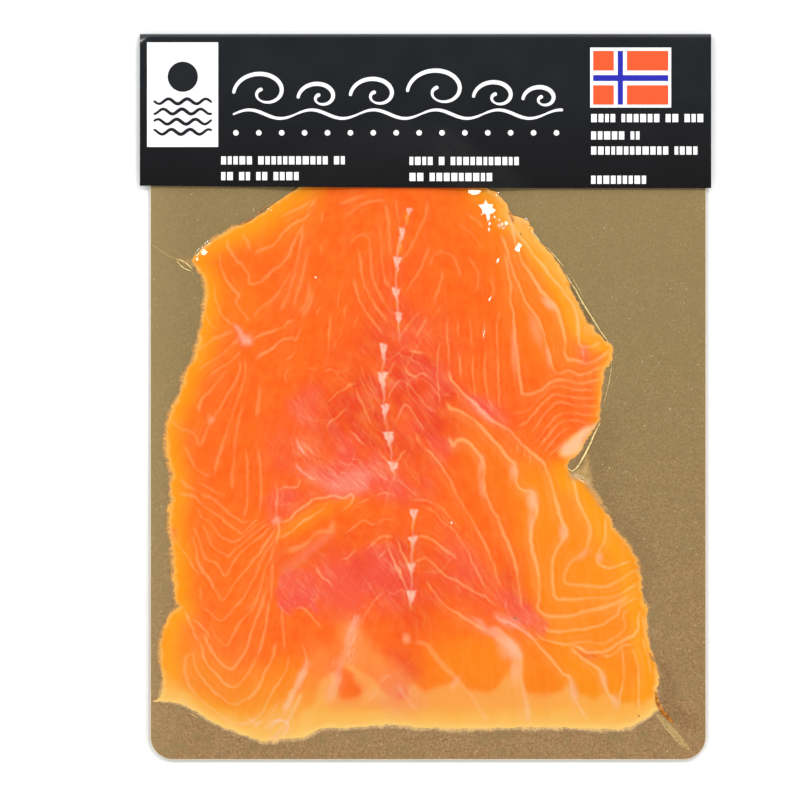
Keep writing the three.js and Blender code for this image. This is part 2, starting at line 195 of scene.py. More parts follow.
def curve(points, spacing=0.8):
    """Points about `spacing` mm apart on a smooth curve through the given ones."""
    p = np.asarray(points, float)
    ends = np.vstack([2 * p[0] - p[1], p, 2 * p[-1] - p[-2]])
    parts = []
    for before, a, b, after in zip(ends, ends[1:], ends[2:], ends[3:]):
        here = np.hypot(*(b - a))
        tangent_a = (b - before) * here / (np.hypot(*(a - before)) + here)
        tangent_b = (after - a) * here / (np.hypot(*(after - b)) + here)
        t = np.linspace(0, 1, max(2, round(here / spacing) + 1))[:-1, None]
        parts.append(
            (2 * t**3 - 3 * t**2 + 1) * a + (t**3 - 2 * t**2 + t) * tangent_a
            + (3 * t**2 - 2 * t**3) * b + (t**3 - t**2) * tangent_b
        )
    return np.vstack(parts + [p[-1:]])


def lengths_along(line):
    """The lengths of a line's parts, and how far along it each of its points is."""
    parts = np.hypot(*(line[1:] - line[:-1]).T)
    return parts, np.concatenate([[0], np.cumsum(parts)])


def window(x_low, x_high, y_low, y_high):
    """The raster's rows and columns that cover a box."""
    columns = slice(max(0, int((x_low - XS[0]) / STEP)), max(0, int((x_high - XS[0]) / STEP) + 2))
    rows = slice(max(0, int((y_low - YS[0]) / STEP)), max(0, int((y_high - YS[0]) / STEP) + 2))
    return rows, columns


def near_line(points, reach):
    """Round a line of points: the window it reaches, the distance to it, its left (+) or right (-) side,
    and the share of its length at the nearest point."""
    points = np.asarray(points)
    (x_low, y_low), (x_high, y_high) = points.min(0) - reach, points.max(0) + reach
    whole = window(x_low, x_high, y_low, y_high)
    distance = np.full(X[whole].shape, float(reach))
    side, share = np.zeros_like(distance), np.zeros_like(distance)
    lengths, done = lengths_along(points)
    for k, (a, b) in enumerate(zip(points, points[1:])):
        (x0, y0), (x1, y1) = np.minimum(a, b) - reach, np.maximum(a, b) + reach
        near = window(x0, x1, y0, y1)
        part = tuple(
            slice(inner.start - outer.start, inner.stop - outer.start) for inner, outer in zip(near, whole)
        )
        px, py = X[near] - a[0], Y[near] - a[1]
        dx, dy = b - a
        t = np.clip((px * dx + py * dy) / max(lengths[k] ** 2, 1e-9), 0, 1)
        far = np.hypot(px - t * dx, py - t * dy)
        closer = far < distance[part]
        distance[part][closer] = far[closer]
        side[part][closer] = np.sign(dx * py - dy * px)[closer]
        share[part][closer] = ((done[k] + t * lengths[k]) / done[-1])[closer]
    return whole, distance, side, share


def inside_of(outline):
    """True on the raster inside a closed outline."""
    inside = np.zeros(X.shape, bool)
    for a, b in zip(outline, np.roll(outline, -1, axis=0)):
        (x0, y0), (x1, y1) = (a, b) if a[1] < b[1] else (b, a)
        first, last = np.searchsorted(YS, [y0, y1])
        if last > first:
            crossing = x0 + (x1 - x0) * (YS[first:last] - y0) / (y1 - y0)
            inside[first:last] ^= XS[None, :] > crossing[:, None]
    return inside


# ---------------------------- the fish's outline
LEFT_EDGE = path(
    "-30,71.4 -40,63.6 -45,60.3 -50,56.4 -55,53.4 -60,51.2 -65,48.3 -68,45.9 -70,43.7 -71.6,41.9"
    " -70.2,39.8 -68.5,37.5 -67.4,35.5 -67.9,27 -68.4,23 -70.2,15 -71,11.5 -73,9 -74,5 -75.5,1 -78.5,-6"
    " -79.3,-9 -79.3,-15 -78.3,-21 -77.5,-23.5 -78,-26 -77.5,-29.5 -77,-30.5 -78,-32 -78.5,-36"
    " -78.2,-41 -77.2,-48 -76.7,-60 -76,-62.5 -75,-63.3 -77,-65 -79,-67.5 -80,-70 -81,-75 -81,-80"
    " -80.3,-87 -80.6,-90 -83,-93"
)
RIGHT_EDGE = path(
    "13,72 18,65 20.3,63.2 22.4,61.9 24.2,60.2 25.3,58.6 25.6,57.2 26.2,55.5 28.2,55.1 29.7,54.5"
    " 31.1,53.4 32.1,52.2 32.6,50.8 35.3,47.2 37.3,45 40.6,40.8 43.4,35.9 44.9,32.3 47.3,28 49,24"
    " 50.8,21.9 52.6,19.8 54.8,17.6 57.3,15.4 56.5,10.5 55,9 54.5,6 53.5,-2 53.2,-7 52.5,-8 49.5,-12.5"
    " 48.2,-15 46.9,-17 45.6,-18 44.4,-19 43.6,-20.3 43.6,-21.5 45.5,-24 47,-24.5 50,-26.7 51.8,-28.9"
    " 53.4,-31.6 55.9,-36 57.9,-39.6 60,-42.8 62,-45 63.3,-47.4 64.5,-49.8 65.4,-52 65.8,-55 66.2,-59"
    " 67,-62 67.8,-65 67.5,-70.5 68.3,-74 70,-80 71.2,-84 71.3,-87 70.5,-90 72,-94"
)
TOP_END = path("-30,71.4 -22,77.5 -8,80 5,78 13,72")
SECOND_SLICE_EDGE = path(
    "-77,-30.5 -60,-31 -48,-24 -40,-8 -31,6 -20,16 -12,18.5 0,13 9,5.5 20,-5 30,-14.5 36,-17.5 43.3,-20"
)
THIRD_SLICE_EDGE = path(
    "-75,-63.3 -60,-55 -47,-41 -40,-35.5 -31,-31 -12,-28.5 0,-31 10,-42 20,-58 33,-72 46,-79 58,-82"
    " 70,-82"
)
BOTTOM_EDGE = path(
    "-83,-93 -80,-93 -77,-93.2 -73,-94.5 -70,-96 -65,-99 -60,-101.5 -55,-103.3 -50,-104.9 -47,-105.1"
    " -42,-104.2 -37,-103.8 -33,-101.9 -30,-100.9 -25,-101.3 -15,-100.4 -10,-100.2 0,-100.9 10,-101.3"
    " 20,-101.3 30,-100.9 40,-100.8 48,-101.1 57,-101.4 62,-101 65,-99.5 69,-97 72,-94"
)
# How ragged each side is, as heights on the pack and the raggedness there.
LEFT_RAGGED = ((-93, 50), (-0.35, -0.45))
RIGHT_RAGGED = (
    (-94, -60, -50, -24, -22, 15, 17, 23, 25, 50, 51, 55.5, 57, 58.5, 60, 64),
    (0.45, 0.45, 0.8, 0.8, 0.45, 0.45, 1.1, 1.1, 0.45, 0.45, 1.3, 1.3, 0.3, 0.3, 1.3, 1.2),
)
# Notches and points shorter than this are left out of a side's broad shape.
BROAD = 6.0


class Side:
    """One side of the fish, giving its place across for any height, with a ragged edge."""

    def __init__(self, points, seed, ragged, inset):
        line = curve(points, 0.3)
        order = np.argsort(line[:, 1], kind="stable")
        self.y, self.x = line[order, 1], line[order, 0]
        torn = np.interp(self.y, *ragged)
        tufts = np.sqrt(np.abs(noise_along(self.y, 2.3, seed)))
        self.x = self.x + inset + torn * (0.7 * tufts - 0.5 + 0.6 * noise_along(self.y, 0.9, seed + 1))

    def at(self, y):
        """The place across at a height on the pack."""
        return np.interp(y, self.y, self.x)

    def broad_at(self, y):
        """The place across without notches and points."""
        shifts = np.linspace(-2, 2, 17)
        weights = np.exp(-(shifts**2) / 2)
        return (self.at(np.asarray(y)[..., None] + BROAD * shifts) * weights).sum(-1) / weights.sum()


class Cross:
    """A curve that crosses the fish from side to side."""

    def __init__(self, x, y):
        self.x, self.y = x, y
        self.left_y, self.right_y = y[0], y[-1]

    def at(self, x):
        """The height on the pack at a place across."""
        return np.interp(x, self.x, self.y)

    def lowered(self, drop):
        """A copy further down the fish."""
        return Cross(self.x, self.y - drop)


def crossing_curve(points, seed=0, ragged=0.0):
    """A curve across the fish through the given points, ragged but for its ends."""
    x, y = curve(points, 0.4).T
    from_end = np.minimum(1, np.arange(len(x)) / 8)
    return Cross(x, y + ragged * from_end * from_end[::-1] * noise_along(x, 1.7, seed))


LEFT = Side(LEFT_EDGE, 11, LEFT_RAGGED, 0.6 * TORN)
RIGHT = Side(RIGHT_EDGE, 21, RIGHT_RAGGED, -TORN / 2)
TOP = crossing_curve(TOP_END)
SECOND = crossing_curve(SECOND_SLICE_EDGE, 31, 0.35)
THIRD = crossing_curve(THIRD_SLICE_EDGE, 32, 0.35)
BOTTOM = crossing_curve(BOTTOM_EDGE, 33, 0.3).lowered(-TORN)


def fish_outline():
    """The fish's outline, counterclockwise."""
    down = np.arange(LEFT_EDGE[0][1], BOTTOM.left_y, -0.3)
    up = np.arange(BOTTOM.right_y, RIGHT_EDGE[0][1], 0.3)
    return np.vstack([
        np.column_stack([LEFT.at(down), down]), np.column_stack([BOTTOM.x, BOTTOM.y]),
        np.column_stack([RIGHT.at(up), up]), np.column_stack([TOP.x, TOP.y])[::-1],
    ])


OUTLINE = fish_outline()
FISH = inside_of(OUTLINE)
EDGE_REACH = 18.0


def distance_to(line, reach):
    """Raster of the distance to a line, up to a reach."""
    far = np.full(X.shape, float(reach))
    whole, distance, _, _ = near_line(line, reach)
    far[whole] = distance
    return far


EDGE = distance_to(np.vstack([OUTLINE, OUTLINE[:1]])[::2], EDGE_REACH)
BELOW_SECOND = SECOND.at(X) - Y
BELOW_THIRD = THIRD.at(X) - Y

# ---------------------------- marbling
# Fat lines as (width, strength, softness, paths), the paths parted by slashes. The softness is how far the
# fat fades out beside a line, to its left if positive and to its right if negative, looking along the path.
FAT_LINES = [
    # upper slice, left half
    (0.45, 0.5, 0.9, """
        -35,57.5 -37,55 -40,53.5 -43,51 -45,48.5 -47,46.5 -50,45.3 -52.5,43.8 / -60.5,49 -60.3,45.5
        -58,42.5 -55.5,39.5 -53.8,37 -54,35.2 -52,34.8 -49.5,36 -46.5,39 -44,41 -42,43.5 -40.5,46.5
        -38.5,50.5 -36.8,53.5 / -63,45 -62.8,41.5 -61.5,38 -60,35 -58,32.5 -56.8,31 -58,29.5 -56.8,27
        -55,25 -53,23 / -56.2,18.8 -58.5,16.5 -61,14.3 -64,12 -67,10.2 -69.5,8.5 / -55.5,14.5 -58,12.3
        -61,10 -64,8 -66,6 / -59,8.5 -61.5,7 -63,5 -64.5,3 -66.5,1.3 -68,0 -69,-2.5 -68.8,-5 / -56.5,12
        -56.8,8 -58.3,4.5 -60,1.5 -61.5,-1.5 -63.5,-4.5 -65.5,-6.8 -66.2,-9 -67.5,-12.5 -68.3,-15 /
        -55,12 -55,7 -56.3,3 -57.5,-1 -59,-5.5 -60.3,-9.5 -61.5,-13.5 -62.7,-17 -63.7,-20 -64.2,-23.5 /
        -22,37 -21.3,33.5 -20,30 -18.5,27 -16.5,24 -14.5,21.5 -13,19 / -20.5,45.5 -20,41 -19.3,37
        -18,33.5 -16.5,30.5 -14.5,27.5 -12.5,24.5 -11,21.5"""),
    (0.5, 0.42, 1.3, """
        -52.5,43.8 -54,46 -54.8,48.5 -56.5,50.2 / -37.3,53 -37.8,48 -39,43 -40.5,39.5 -42.5,35.5
        -45.5,31 -48.5,28.5 -51.5,26 -53,24 / -38.3,46 -39,42 -40,37.5 -41,33 -42.5,29.5 -44.5,26 /
        -35.5,46 -37,40 -38,34.5 -39.3,31 -40.3,27.5 / -35.5,36 -36,31 -37,28 -38.8,25 / -34.8,33
        -35.3,29 -36.8,26 -38,24 / -34.5,60.5 -38,58.5 -41,57 -44.5,55 / -33,61.5 -36,57.5 / -58,20.8
        -61.5,19.3 -65,17.8 -68,15.8 -70,14.3 / -25.5,54.5 -22.5,57 -19,59.5 -15.5,60.3 -11.5,60.5 /
        -27,58.5 -24,60 -21,61.5 -18,62.5 / -23.3,46 -22,48.3 -20,49.5 -18,49.5 -17,47.5 -17,43
        -16.5,38.5 -15.3,34.5 -13.5,31 -11.5,27.5 -9.5,25 / -15,54 -13.8,50 -13.6,44 -13,39 -12,35.5
        -10.3,33.2 / -12.6,60 -11.6,55 -11,49 -10.8,43.5 / -9,61 -8.6,57 -8,53 / -75,-9.5 -71,-10.5
        -69.3,-13 -68.3,-15.5 / -78.5,-6.5 -76,-8 -74,-9.7 / -55.5,-2 -56.8,-7 -57.8,-13 -58.3,-18
        -59,-23 -59.3,-28 / -50.5,5 -51,0 -51.5,-6"""),
    (0.3, 0.5, 0.5, """
        -64,36 -64.3,32 -63.5,29.5 -62.5,26.5 -61,24.3 -58.7,22 / -66.5,31 -67.3,27.5 -66.5,24.5 -65,22
        -63,20.5 / -31.5,57 -31.6,53 / -33,47 -32,46.5 -31.5,43.5 / -32.5,36.8 -31.7,34.5 / -31.2,28.5
        -32.8,26.5 -33.4,24.3 / -25.3,23 -26,20 -27.2,17 -28,13.8 / -20.5,25.5 -21.5,23 -22.2,21.5 /
        -24,29 -24.8,26.5 -24.8,24 / -42,4.5 -42.5,7 -41.5,9 -39.5,9.7 / -36.5,8.5 -34.8,9 -33,8.5 /
        -31,7.3 -29.5,8.5 -28,8.5 -26.5,7.5 -22.5,9.5 / -39.5,13.5 -39.2,16 / -43,11 -41,12.5 -39.5,14.5
        / -21,51 -23,49 / -29,26 -29.6,20 -29.4,14 / -26.5,33 -27,27"""),
    # upper slice, middle and right
    (0.4, 0.42, 0.9, """
        0.8,60 0,55 -1.5,52 -3.5,48 -6,44 -8,41 / 1.5,47 0,43.5 -2,39 -4,35.5 -6.5,32 / -1,27 -3,25
        -5,22.5 -7,20 -8,17 / 1,25 -1,22 -3,18.5 / 5.3,40 4.8,36.5 3.8,33 2.5,29 / 4.8,29 3.5,26 1.8,24
        / 3,22 1.5,21 1,18.5 / 1.2,40 2,42.5 3.5,44 5.5,44.5 7.8,43.5 9.3,41.5 10.3,39 10.8,36.5 /
        12.5,43 14.5,41 16,38 16.2,35 15.3,32.5 / 9,53.5 12,51.5 15,48.5 17,46 19,45 / 12,56.5 15,54.5
        18,51 / 20.3,37 20.8,33 20.3,30 / 22.3,27 22,23 / 13.5,25 13.7,20 14,15 / 10,24 9.8,18 / 6.8,25
        6.5,20 7,14 7.3,8 / 17.9,16 18,10 18.5,5 19.3,0 20.5,-4"""),
    (0.32, 0.62, 0.5, """
        4.8,17.5 4,15.5 3.7,12 3.7,7 4,2 4.3,-2 / 10,14 10.5,10 11,6 / 14,14 14.5,9 15,4 15.5,0 /
        21.8,24 21.8,18 22,12 22.3,6 22.5,1 22.8,-3 / 18.2,23.5 17.5,20 17.5,17 / -6.3,9.5 -5.5,7.3
        -3,6.5 -0.5,7.2 1.5,5.5 / -5.5,14.6 -2,14.1 0.5,13.9"""),
    (0.4, 0.8, -1.1, """
        27,52 28.5,49.5 31,46.5 33.5,43.5 35.5,41 38,37.5 41,34 43,31 45,28 46,25 46.5,21.5 46.5,18.5
        47,16 49,15.5 50.5,15.5 52,16.3 54,17.2 / 23,50 25,45 26,41 27.5,37 29,33.5 30,30 32,27.5
        34,24.5 35.5,21 36.5,17.5 37.5,13.5 38.5,10 39.5,8 41,7.8 43,8.5 45,8 47,7 49.5,7.5 52,8.8
        55,9.7 / 24.5,44 25.3,38 26,34.5 25.7,30 26.7,25.5 27,20 28,14 28.8,8 29.3,3 29.5,1.2 31.5,1
        34,2 36,3 38,5 40.5,5.8 43.5,5.7 45.5,4.7 48,4.5 51,5.2 54,6.2"""),
    (0.55, 0.85, -1.4, """
        25.5,56 26.5,52 27,48.5 29,43 31,39.5 33.5,36 36,32 38,29.5 40,27 41,24 42.2,21 42.5,18 42.3,14
        43.5,12 46,11.5 48.5,10.5 51,11 53.5,12.5 56.5,15"""),
    (0.32, 0.6, 0.6, """
        26,-5.5 28,-4.8 31,-4 33.5,-1.5 35.5,0.8 37.5,2.8 40,3.8 43,3.5 45,2.7 48,2.5 53,2.6 / 27,-9
        30,-8 32.5,-5.5 35,-2.5 37,-0.2 39.5,1.2 43,0.8 46,0.2 53,0.2 / 31.5,-11 33.5,-9 36,-5.5 38,-3
        40.5,-1.2 43,-1.3 46,-2.3 53,-2.4 / 32.5,-14 34.5,-12.5 37,-9 39.5,-6 42,-4.8 45,-4.8 52,-5.4 /
        35,-14.5 37.5,-11.5 40,-8.5 43,-7.2 50,-7.6 / 36,-16.5 39,-13 42,-10 45,-9.4 / 37.5,-17.5
        40.5,-15 42,-13.5"""),
    # middle slice
    (0.5, 0.85, -1.6, """
        6.5,9 7.5,7.5 8.2,5.3 9.5,4 11.5,1.5 13.8,-0.5 17,-3.5 20,-6.5 23,-8.3 25,-9.5 27.5,-12 30,-14.5
        33,-17 35.5,-19 36.8,-21.5 38,-24.5 38.8,-28 39.5,-31 40.5,-33.5 41.3,-37 43.2,-40.5 42,-43
        40,-46 38.8,-49.5 38.8,-54 39,-58 39.8,-61 42,-61.3 46,-61.2 50,-60.7 55,-61 58,-60.2 61,-58.8
        65,-56.5"""),
    (0.55, 0.85, -2.3, """
        6.5,-0.5 7.5,-3 9.5,-3.5 12,-5 15,-7 17.5,-9.5 20,-12.5 22.5,-15 25,-18 27,-19.8 27.6,-23
        27.8,-26 29.5,-28 32,-28.3 33.5,-31.5 34.2,-35 32.8,-38 32.2,-42 32.8,-47 34,-51 34.8,-56
        34.8,-60 34.3,-64 36.5,-66.2 40,-66.6 44,-66.4 48,-65 52,-64.2 55.5,-63.5 59,-62.2 62,-60.5 /
        7,-11.3 8.3,-14.5 9.5,-12.8 12,-13 14.5,-15 16.5,-18 17.8,-21 17.8,-25 18.5,-29.5 19.8,-33
        21.5,-35.5 23.5,-40 25.5,-44.5 27,-49 28.3,-54 29,-59 29.3,-64"""),
    (0.45, 0.7, -1.8, """
        -0.5,-14.5 3,-18 5.5,-21.5 8,-25 10,-30 13,-35 16,-40 18.5,-45 20.5,-50 22,-55 23.3,-58.5 /
        44.3,-23 45.3,-26 46,-29.5 47.3,-33 49.3,-37 50,-39.5 49.5,-43 48.5,-46 46,-48.5 43.5,-51
        42.5,-54 42.7,-56 44.5,-56.7 50,-56.8 54,-57.3 57,-56.6 60,-55 62.5,-53.3 65.5,-52"""),
    (0.42, 0.78, 0.9, """
        54.5,-36 54.5,-40 54,-44 52.7,-47 52,-49.8 54,-51.2 57,-51.5 60,-50.5 62.5,-49.5 / 35.5,-69.5
        38,-71 41.5,-71.3 46,-70.7 50,-70 54,-69 56,-67.5 58.3,-66 59,-64 62,-62 65,-60.5 / 33.5,-71
        36,-73.5 39,-74.3 43,-75 47,-74.3 51,-74.2 54,-74.5 57,-73 60,-71 60.7,-69 60.5,-66 62.5,-64 /
        44,-75 47,-76 50,-77.3 52.5,-77 54.5,-77 57,-75.5 60,-74 63,-72.5 64.5,-70.5 64.8,-67 66,-64 /
        53,-78 56,-78.3 58,-77 60,-75.5 63.5,-75 / 66,-66 66.3,-70 67,-74"""),
    (0.3, 0.5, 0.5, """
        -5,-31.5 -2,-31 1,-31.5 4,-34 7,-38 10,-42.5 12.5,-46 14,-50 16.5,-54.5 18.5,-58 / -1,-33 3,-35
        6,-38.5 9,-41 / 2,-31 5,-33.5 8,-37 10.5,-40 / 30.3,-13.5 30,-18.5 / 28,-12.5 27.8,-17.5 /
        32,-16 31.6,-21 / -20,7 -18.5,3.5 -17,-0.5 -15.5,-5 / -19.8,10.5 -18.5,7 -17,3.5 -15.5,0.5
        -13.5,-2.5 / -17.5,8 -16,4 -14.5,1 / -21.5,4 -20.5,0.5 -18.5,-3.5 -16,-8.5 / -19.5,15.5
        -18.2,12.5 / -12,5.5 -10.5,8.5 -9,11.5 / -12,-1 -10,3 -8,5.4 -6,4.3 -3,2 -1,-0.5 1,-3 3,-3.9 /
        -9,-8 -7.5,-4 -6,-2 -4,-4 -2,-7 0,-9.5 / -24,-9 -21,-12 -18.5,-14.5 / -9.5,-24 -6,-27 -3,-30 /
        -3,-10.5 -2.3,-12.5 -1,-14.5 / -15,-30 -12,-29 -9.8,-29.5 / -15,-38.5 -12.5,-37 -9,-37.7"""),
    (0.35, 0.62, 0.6, """
        -15,-15.5 -12.5,-18.5 -10.8,-19.5 -8.5,-19 -7,-17 -5.5,-15.5 / -30,-9.5 -29.5,-7.5 -28,-6.5
        -26.5,-5 -25,-3.7 -23.8,-3.3 / -30,-1.3 -28.5,-0.3 -27,1.5 -24.5,2.5 -22.5,4.3 -21,4.7 / -4,-44
        -2.5,-42.8 -0.5,-42.3 2,-43.3 5,-45.8 8,-48 10,-49.5 / -4.5,-50 -2.5,-49.5 -0.5,-48.8 1.5,-50
        4,-52.5 6.5,-54.5 9,-55.5 12,-57 15,-58.8 19,-61 22,-63.3 / -9,-42.5 -7.5,-46 -6,-49.5 -5,-52 /
        -16,-43.5 -13,-42 -9.5,-42.3 / -11.8,-45 -10,-49 -8,-53.5 -6,-58 -4.8,-60 / -15,-49.5
        -13.5,-47.5 -12.2,-46"""),
    # the left flank under the second node
    (0.4, 0.42, 0.8, """
        -54.8,-15 -54.3,-20 -54.5,-27 -54.5,-32 -55.3,-37 / -51.2,-15 -50.3,-22 -50.3,-30 -50.5,-36.3 /
        -74,-14 -72.2,-17.5 -70.5,-20.5 -68.5,-22.5 -66.5,-23.7 -64.3,-23.5 / -70,-25.5 -66,-27.5
        -63,-29.5 -60.3,-30.3 / -76,-28.5 -73,-29.5 -70.5,-30 -69,-32 -66,-34 -63,-36 -60,-38.5
        -57.5,-40.5 -56.5,-41.3 -53.5,-39 -50.8,-36.3 / -69.5,-29 -66,-30.3 -62.5,-32.8 -60,-35
        -57.5,-36.8 -55.5,-38 -53,-37.3 / -70,-33 -68.5,-36 -66,-37.5 -64,-40 -62.5,-42 -59.5,-43.5
        -57.5,-43.3 -54,-40.8 -51,-38.5 -48,-36.5 / -69,-38 -67,-40 -66,-43 -64.5,-45.5 -62,-47
        -60,-48.2 -58.5,-46.5 -55,-43.5 -51,-40.5 -47,-37.5 / -78.5,-39 -76.5,-43 -74,-46.5 -72,-49.5
        -70,-52.5 -68,-54 / -75.5,-24.5 -72,-27.3 -70,-28"""),
    (0.42, 0.5, 0.9, """
        -70.5,-39 -69,-43 -68,-47 -67,-49 -64.5,-50 -62.5,-52.5 -61,-54 -59,-51 -57,-48 -53,-44.5
        -49,-41.5 -46.5,-38 / -59,-64.5 -57,-62.5 -54.5,-59.5 -53,-56.5 -51,-52 -49.5,-48.5 -47,-45
        -45,-41.5 / -55,-65 -52.5,-62 -50.8,-59 -50,-56 -48.8,-52 -47,-48.5 -46,-44.5 / -68.5,-63.5
        -66,-65 -64.5,-67 -62,-68 -60.5,-66.5 -58.5,-64 / -66,-69 -64,-72.5 -61.5,-75 -60,-75.5 -59,-73
        -57.5,-70.5 -55.5,-67.5 -53.5,-65 -51.5,-61.5 -50.5,-57.5 / -71.5,-67 -69,-69 -67,-71
        -65.5,-73.5"""),
    (0.45, 0.6, 1.0, """
        -71,-41.5 -70,-46 -69.5,-50 -68,-52.5 -66.5,-54.5 -65,-57 -63.5,-59.5 -62,-61.5 -60.5,-60
        -58,-56.5 -55,-53 -52,-49 -49,-45 -46.5,-41.5 -45,-38.5 / -68,-71.5 -66.5,-74.5 -65,-77
        -63.5,-79.5 -61.5,-81.5 -59.5,-82.5 -58.3,-82.3 -56.5,-79.5 -54.5,-76 -53,-71.5 -51.5,-67
        -50,-62.5 -49,-58.5 / -69,-74 -68,-77 -67.5,-79.5 -65.5,-82.5 -63.5,-84.5 -62,-86.5 -60,-87.7
        -57.5,-88 -55.8,-86.5 -54,-84 -52,-80.5 -50.3,-76 -49.2,-71 -48.2,-66 -47.5,-61 / -70.3,-76.5
        -70.7,-79.5 -70,-83 -68,-85.5 -65.5,-88.5 -62.5,-91 -60,-93 -57.5,-93.5 -55,-92.3 -52.5,-90.3
        -50.5,-87.5 -49,-84 -47.3,-80.5 -46,-77 -45.5,-74 / -59,-99.5 -54.5,-99.3 -52,-98 -50,-96
        -48.5,-93 -47,-90 -45.5,-87.5 -43.7,-85 -42.3,-82 -42,-78 / -73.5,-64.5 -72,-68 -70.5,-72
        -69,-74.3"""),
    (0.5, 0.42, 1.2, """
        -71,-77.5 -73,-79.5 -73.5,-83 -72.5,-86.5 -70.5,-89.5 -67.5,-92.5 -64.5,-95 -61.5,-97.5
        -59,-99.3 / -75,-90.5 -72.5,-93.5 -70.5,-95.5 -68.5,-98 / -50,-65 -48.8,-60 -48,-54 / -47,-62
        -47,-55 -46.2,-49 / -43,-77 -43.2,-70 -44,-64 / -69,-57 -68.5,-60 -68.3,-63"""),
    (1.0, 0.75, 1.0, """
        -43,-95.5 -41.5,-92 -40.5,-89 -38.5,-86 -37,-83.5 -36.5,-82 / -48.8,-101.5 -47.5,-99.5
        -46.3,-98.6 -44.8,-99 / -47.5,-104.5 -45,-102.5 -42.5,-99 -40.5,-95 -39,-92.5 -37.5,-89"""),
    # branches to the right of the second node
    (0.45, 0.7, 0.6, """
        -44.5,-38 -42,-37.5 -39.5,-35 -37,-33 -34,-31 -31,-30.2 -28,-29.5 -25,-30.5 -23,-29.5 -22,-30.5
        -23,-32.5 -26,-34.5 / -44.5,-42.5 -42,-41.5 -39.5,-39.5 -37.5,-37.5 -34.5,-36 -32.5,-34.5
        -30,-33 / -53,17.5 -50.5,19.3 -47.5,20.3 -44,21.2 -42,21.2 / -43.5,21.3 -42,22.8 -40,23.5 /
        -51.5,11.5 -50.5,13 -48,14 -46,15.8 -43.5,17.5 -41,18 -39.5,17.5 -38.7,19.5 -37,21.3 / -45,-37
        -44.5,-40 -45.5,-45"""),
    (0.9, 0.5, -1.6, "-43,-47 -40.5,-46 -38,-45 -35.5,-43 -34,-41 -31.5,-40.3 -29,-40 -28,-38 -27,-37"),
    (0.3, 0.55, 0.5, """
        -25,-41.5 -22.5,-40 -20.5,-38.5 -18.5,-37.3 -17,-38.3 -14.5,-38.8 / -26,-49.5 -23.5,-48.5
        -22,-47 -20.5,-45.8 / -18.5,-47 -16.5,-44.5 -15,-43 / -33.5,-50.5 -33,-52.5 -31.5,-54.5
        -29,-56.5 -28.3,-57.5 / -34.3,-51 -33,-53 / -19.5,-57.5 -18.5,-55.5 / -45.5,-29 -44.5,-28
        -42.5,-27 -41,-27.5 -39,-27 -38.3,-25.5 -39,-24 / -45.3,-26 -45.2,-30 -45.5,-34 -45.5,-37 /
        -38,-74.5 -37,-77 -36.3,-79.5 -36.2,-82 / -40,-64.5 -38,-63.8 -36,-65.5 -34,-67.5 -32.5,-69
        -31.3,-70.3 / -45,-62 -43.5,-64.5 -41,-66.5 / -13,-59 -16,-62 -18,-65.5 -20,-69 / -21,-32.5
        -18.5,-31.5 -16.5,-30.8 / -22,-34 -19,-32.8"""),
    # lower slice, right part
    (0.45, 0.75, -1.6, """
        44,-75.5 46.5,-78 49,-80 52,-82 53.5,-84 54.5,-87 56.5,-90.5 58.5,-93 / 30.5,-71 34,-74.5 37,-78
        39.5,-81 42,-84 43.8,-85 44.5,-89 46,-92.5 48,-96 49.5,-99 / 0,-55.5 2,-58.5 4,-61 6.5,-63.5
        10,-65.5 13,-67.5 16,-69.3 19,-71"""),
    (0.9, 0.7, -3.6, """
        20.5,-69.5 22.5,-70.5 25,-73 27.5,-76.5 29,-79 28.8,-83 29.5,-88 30.8,-93 31.5,-99"""),
    (0.4, 0.62, 0.9, """
        59.7,-75 60,-78 60.3,-82 60,-87 59.3,-91 58.7,-95 / 62.5,-75.5 64,-79 64.8,-84 65,-90 65,-95.5 /
        66,-73 67,-77 68,-80.5 68.8,-84.5"""),
    (0.8, 0.42, 1.4, """
        -4,-74.5 0,-75 2,-77.5 3.5,-79.5 6,-82 9,-84.5 12,-88.5 15,-92.5 17.5,-96 19.5,-99 / -8.5,-86.5
        -7,-90 -5,-93 -2,-95.5 / -15,-87 -13,-85.5 -10,-83.5 / -18,-93 -15.5,-90 -15,-87.5"""),
]
# Lines of white fat down the middle of the back and at torn edges.
WHITE_LINES = [
    (0.3, 0.32, 0.4, """
        -4.9,57.5 -6,53.5 -7.5,50 -8.5,45 -9,40 -9,33 -8.6,26 -8.2,20 -8,17 / -12.8,15 -12.9,10 -13.2,5
        -12.8,-1 -12,-5 -11.4,-10 -10.6,-16 -9.6,-21 -9.4,-24 / -3.7,-36 -4,-42 -4.3,-50 -4.5,-59
        -4.6,-63"""),
    (0.4, 0.6, -0.8, """
        -40,-19.5 -38.5,-21.5 -37,-23 -35,-24.5 -32.5,-25 / -39.3,-11.5 -39,-13.5 -38,-15.5 -36.5,-17.5"""),
    (0.34, 0.6, 0.5, """
        -46.8,-102 -46.5,-99.6 -45,-98.2 -43.2,-98.3 -42.2,-99.6 -42.4,-101.4 -44,-103.6"""),
    (0.5, 0.45, 0.6, """
        20.5,-65.5 23,-67.5 26,-68.5 29,-70.5 32,-72.5 35,-73.5 / 24.5,-61 24.7,-65 / -70.6,-72
        -69.3,-74"""),
    (0.5, 0.35, 0.8, """
        -64,-6 -66,-7.5 / -53.5,17 -55,19 -57.5,21 / 10.3,-50.5 11.5,-51.3 / 47.5,15.5 47.8,13.5 48.2,11"""),
]
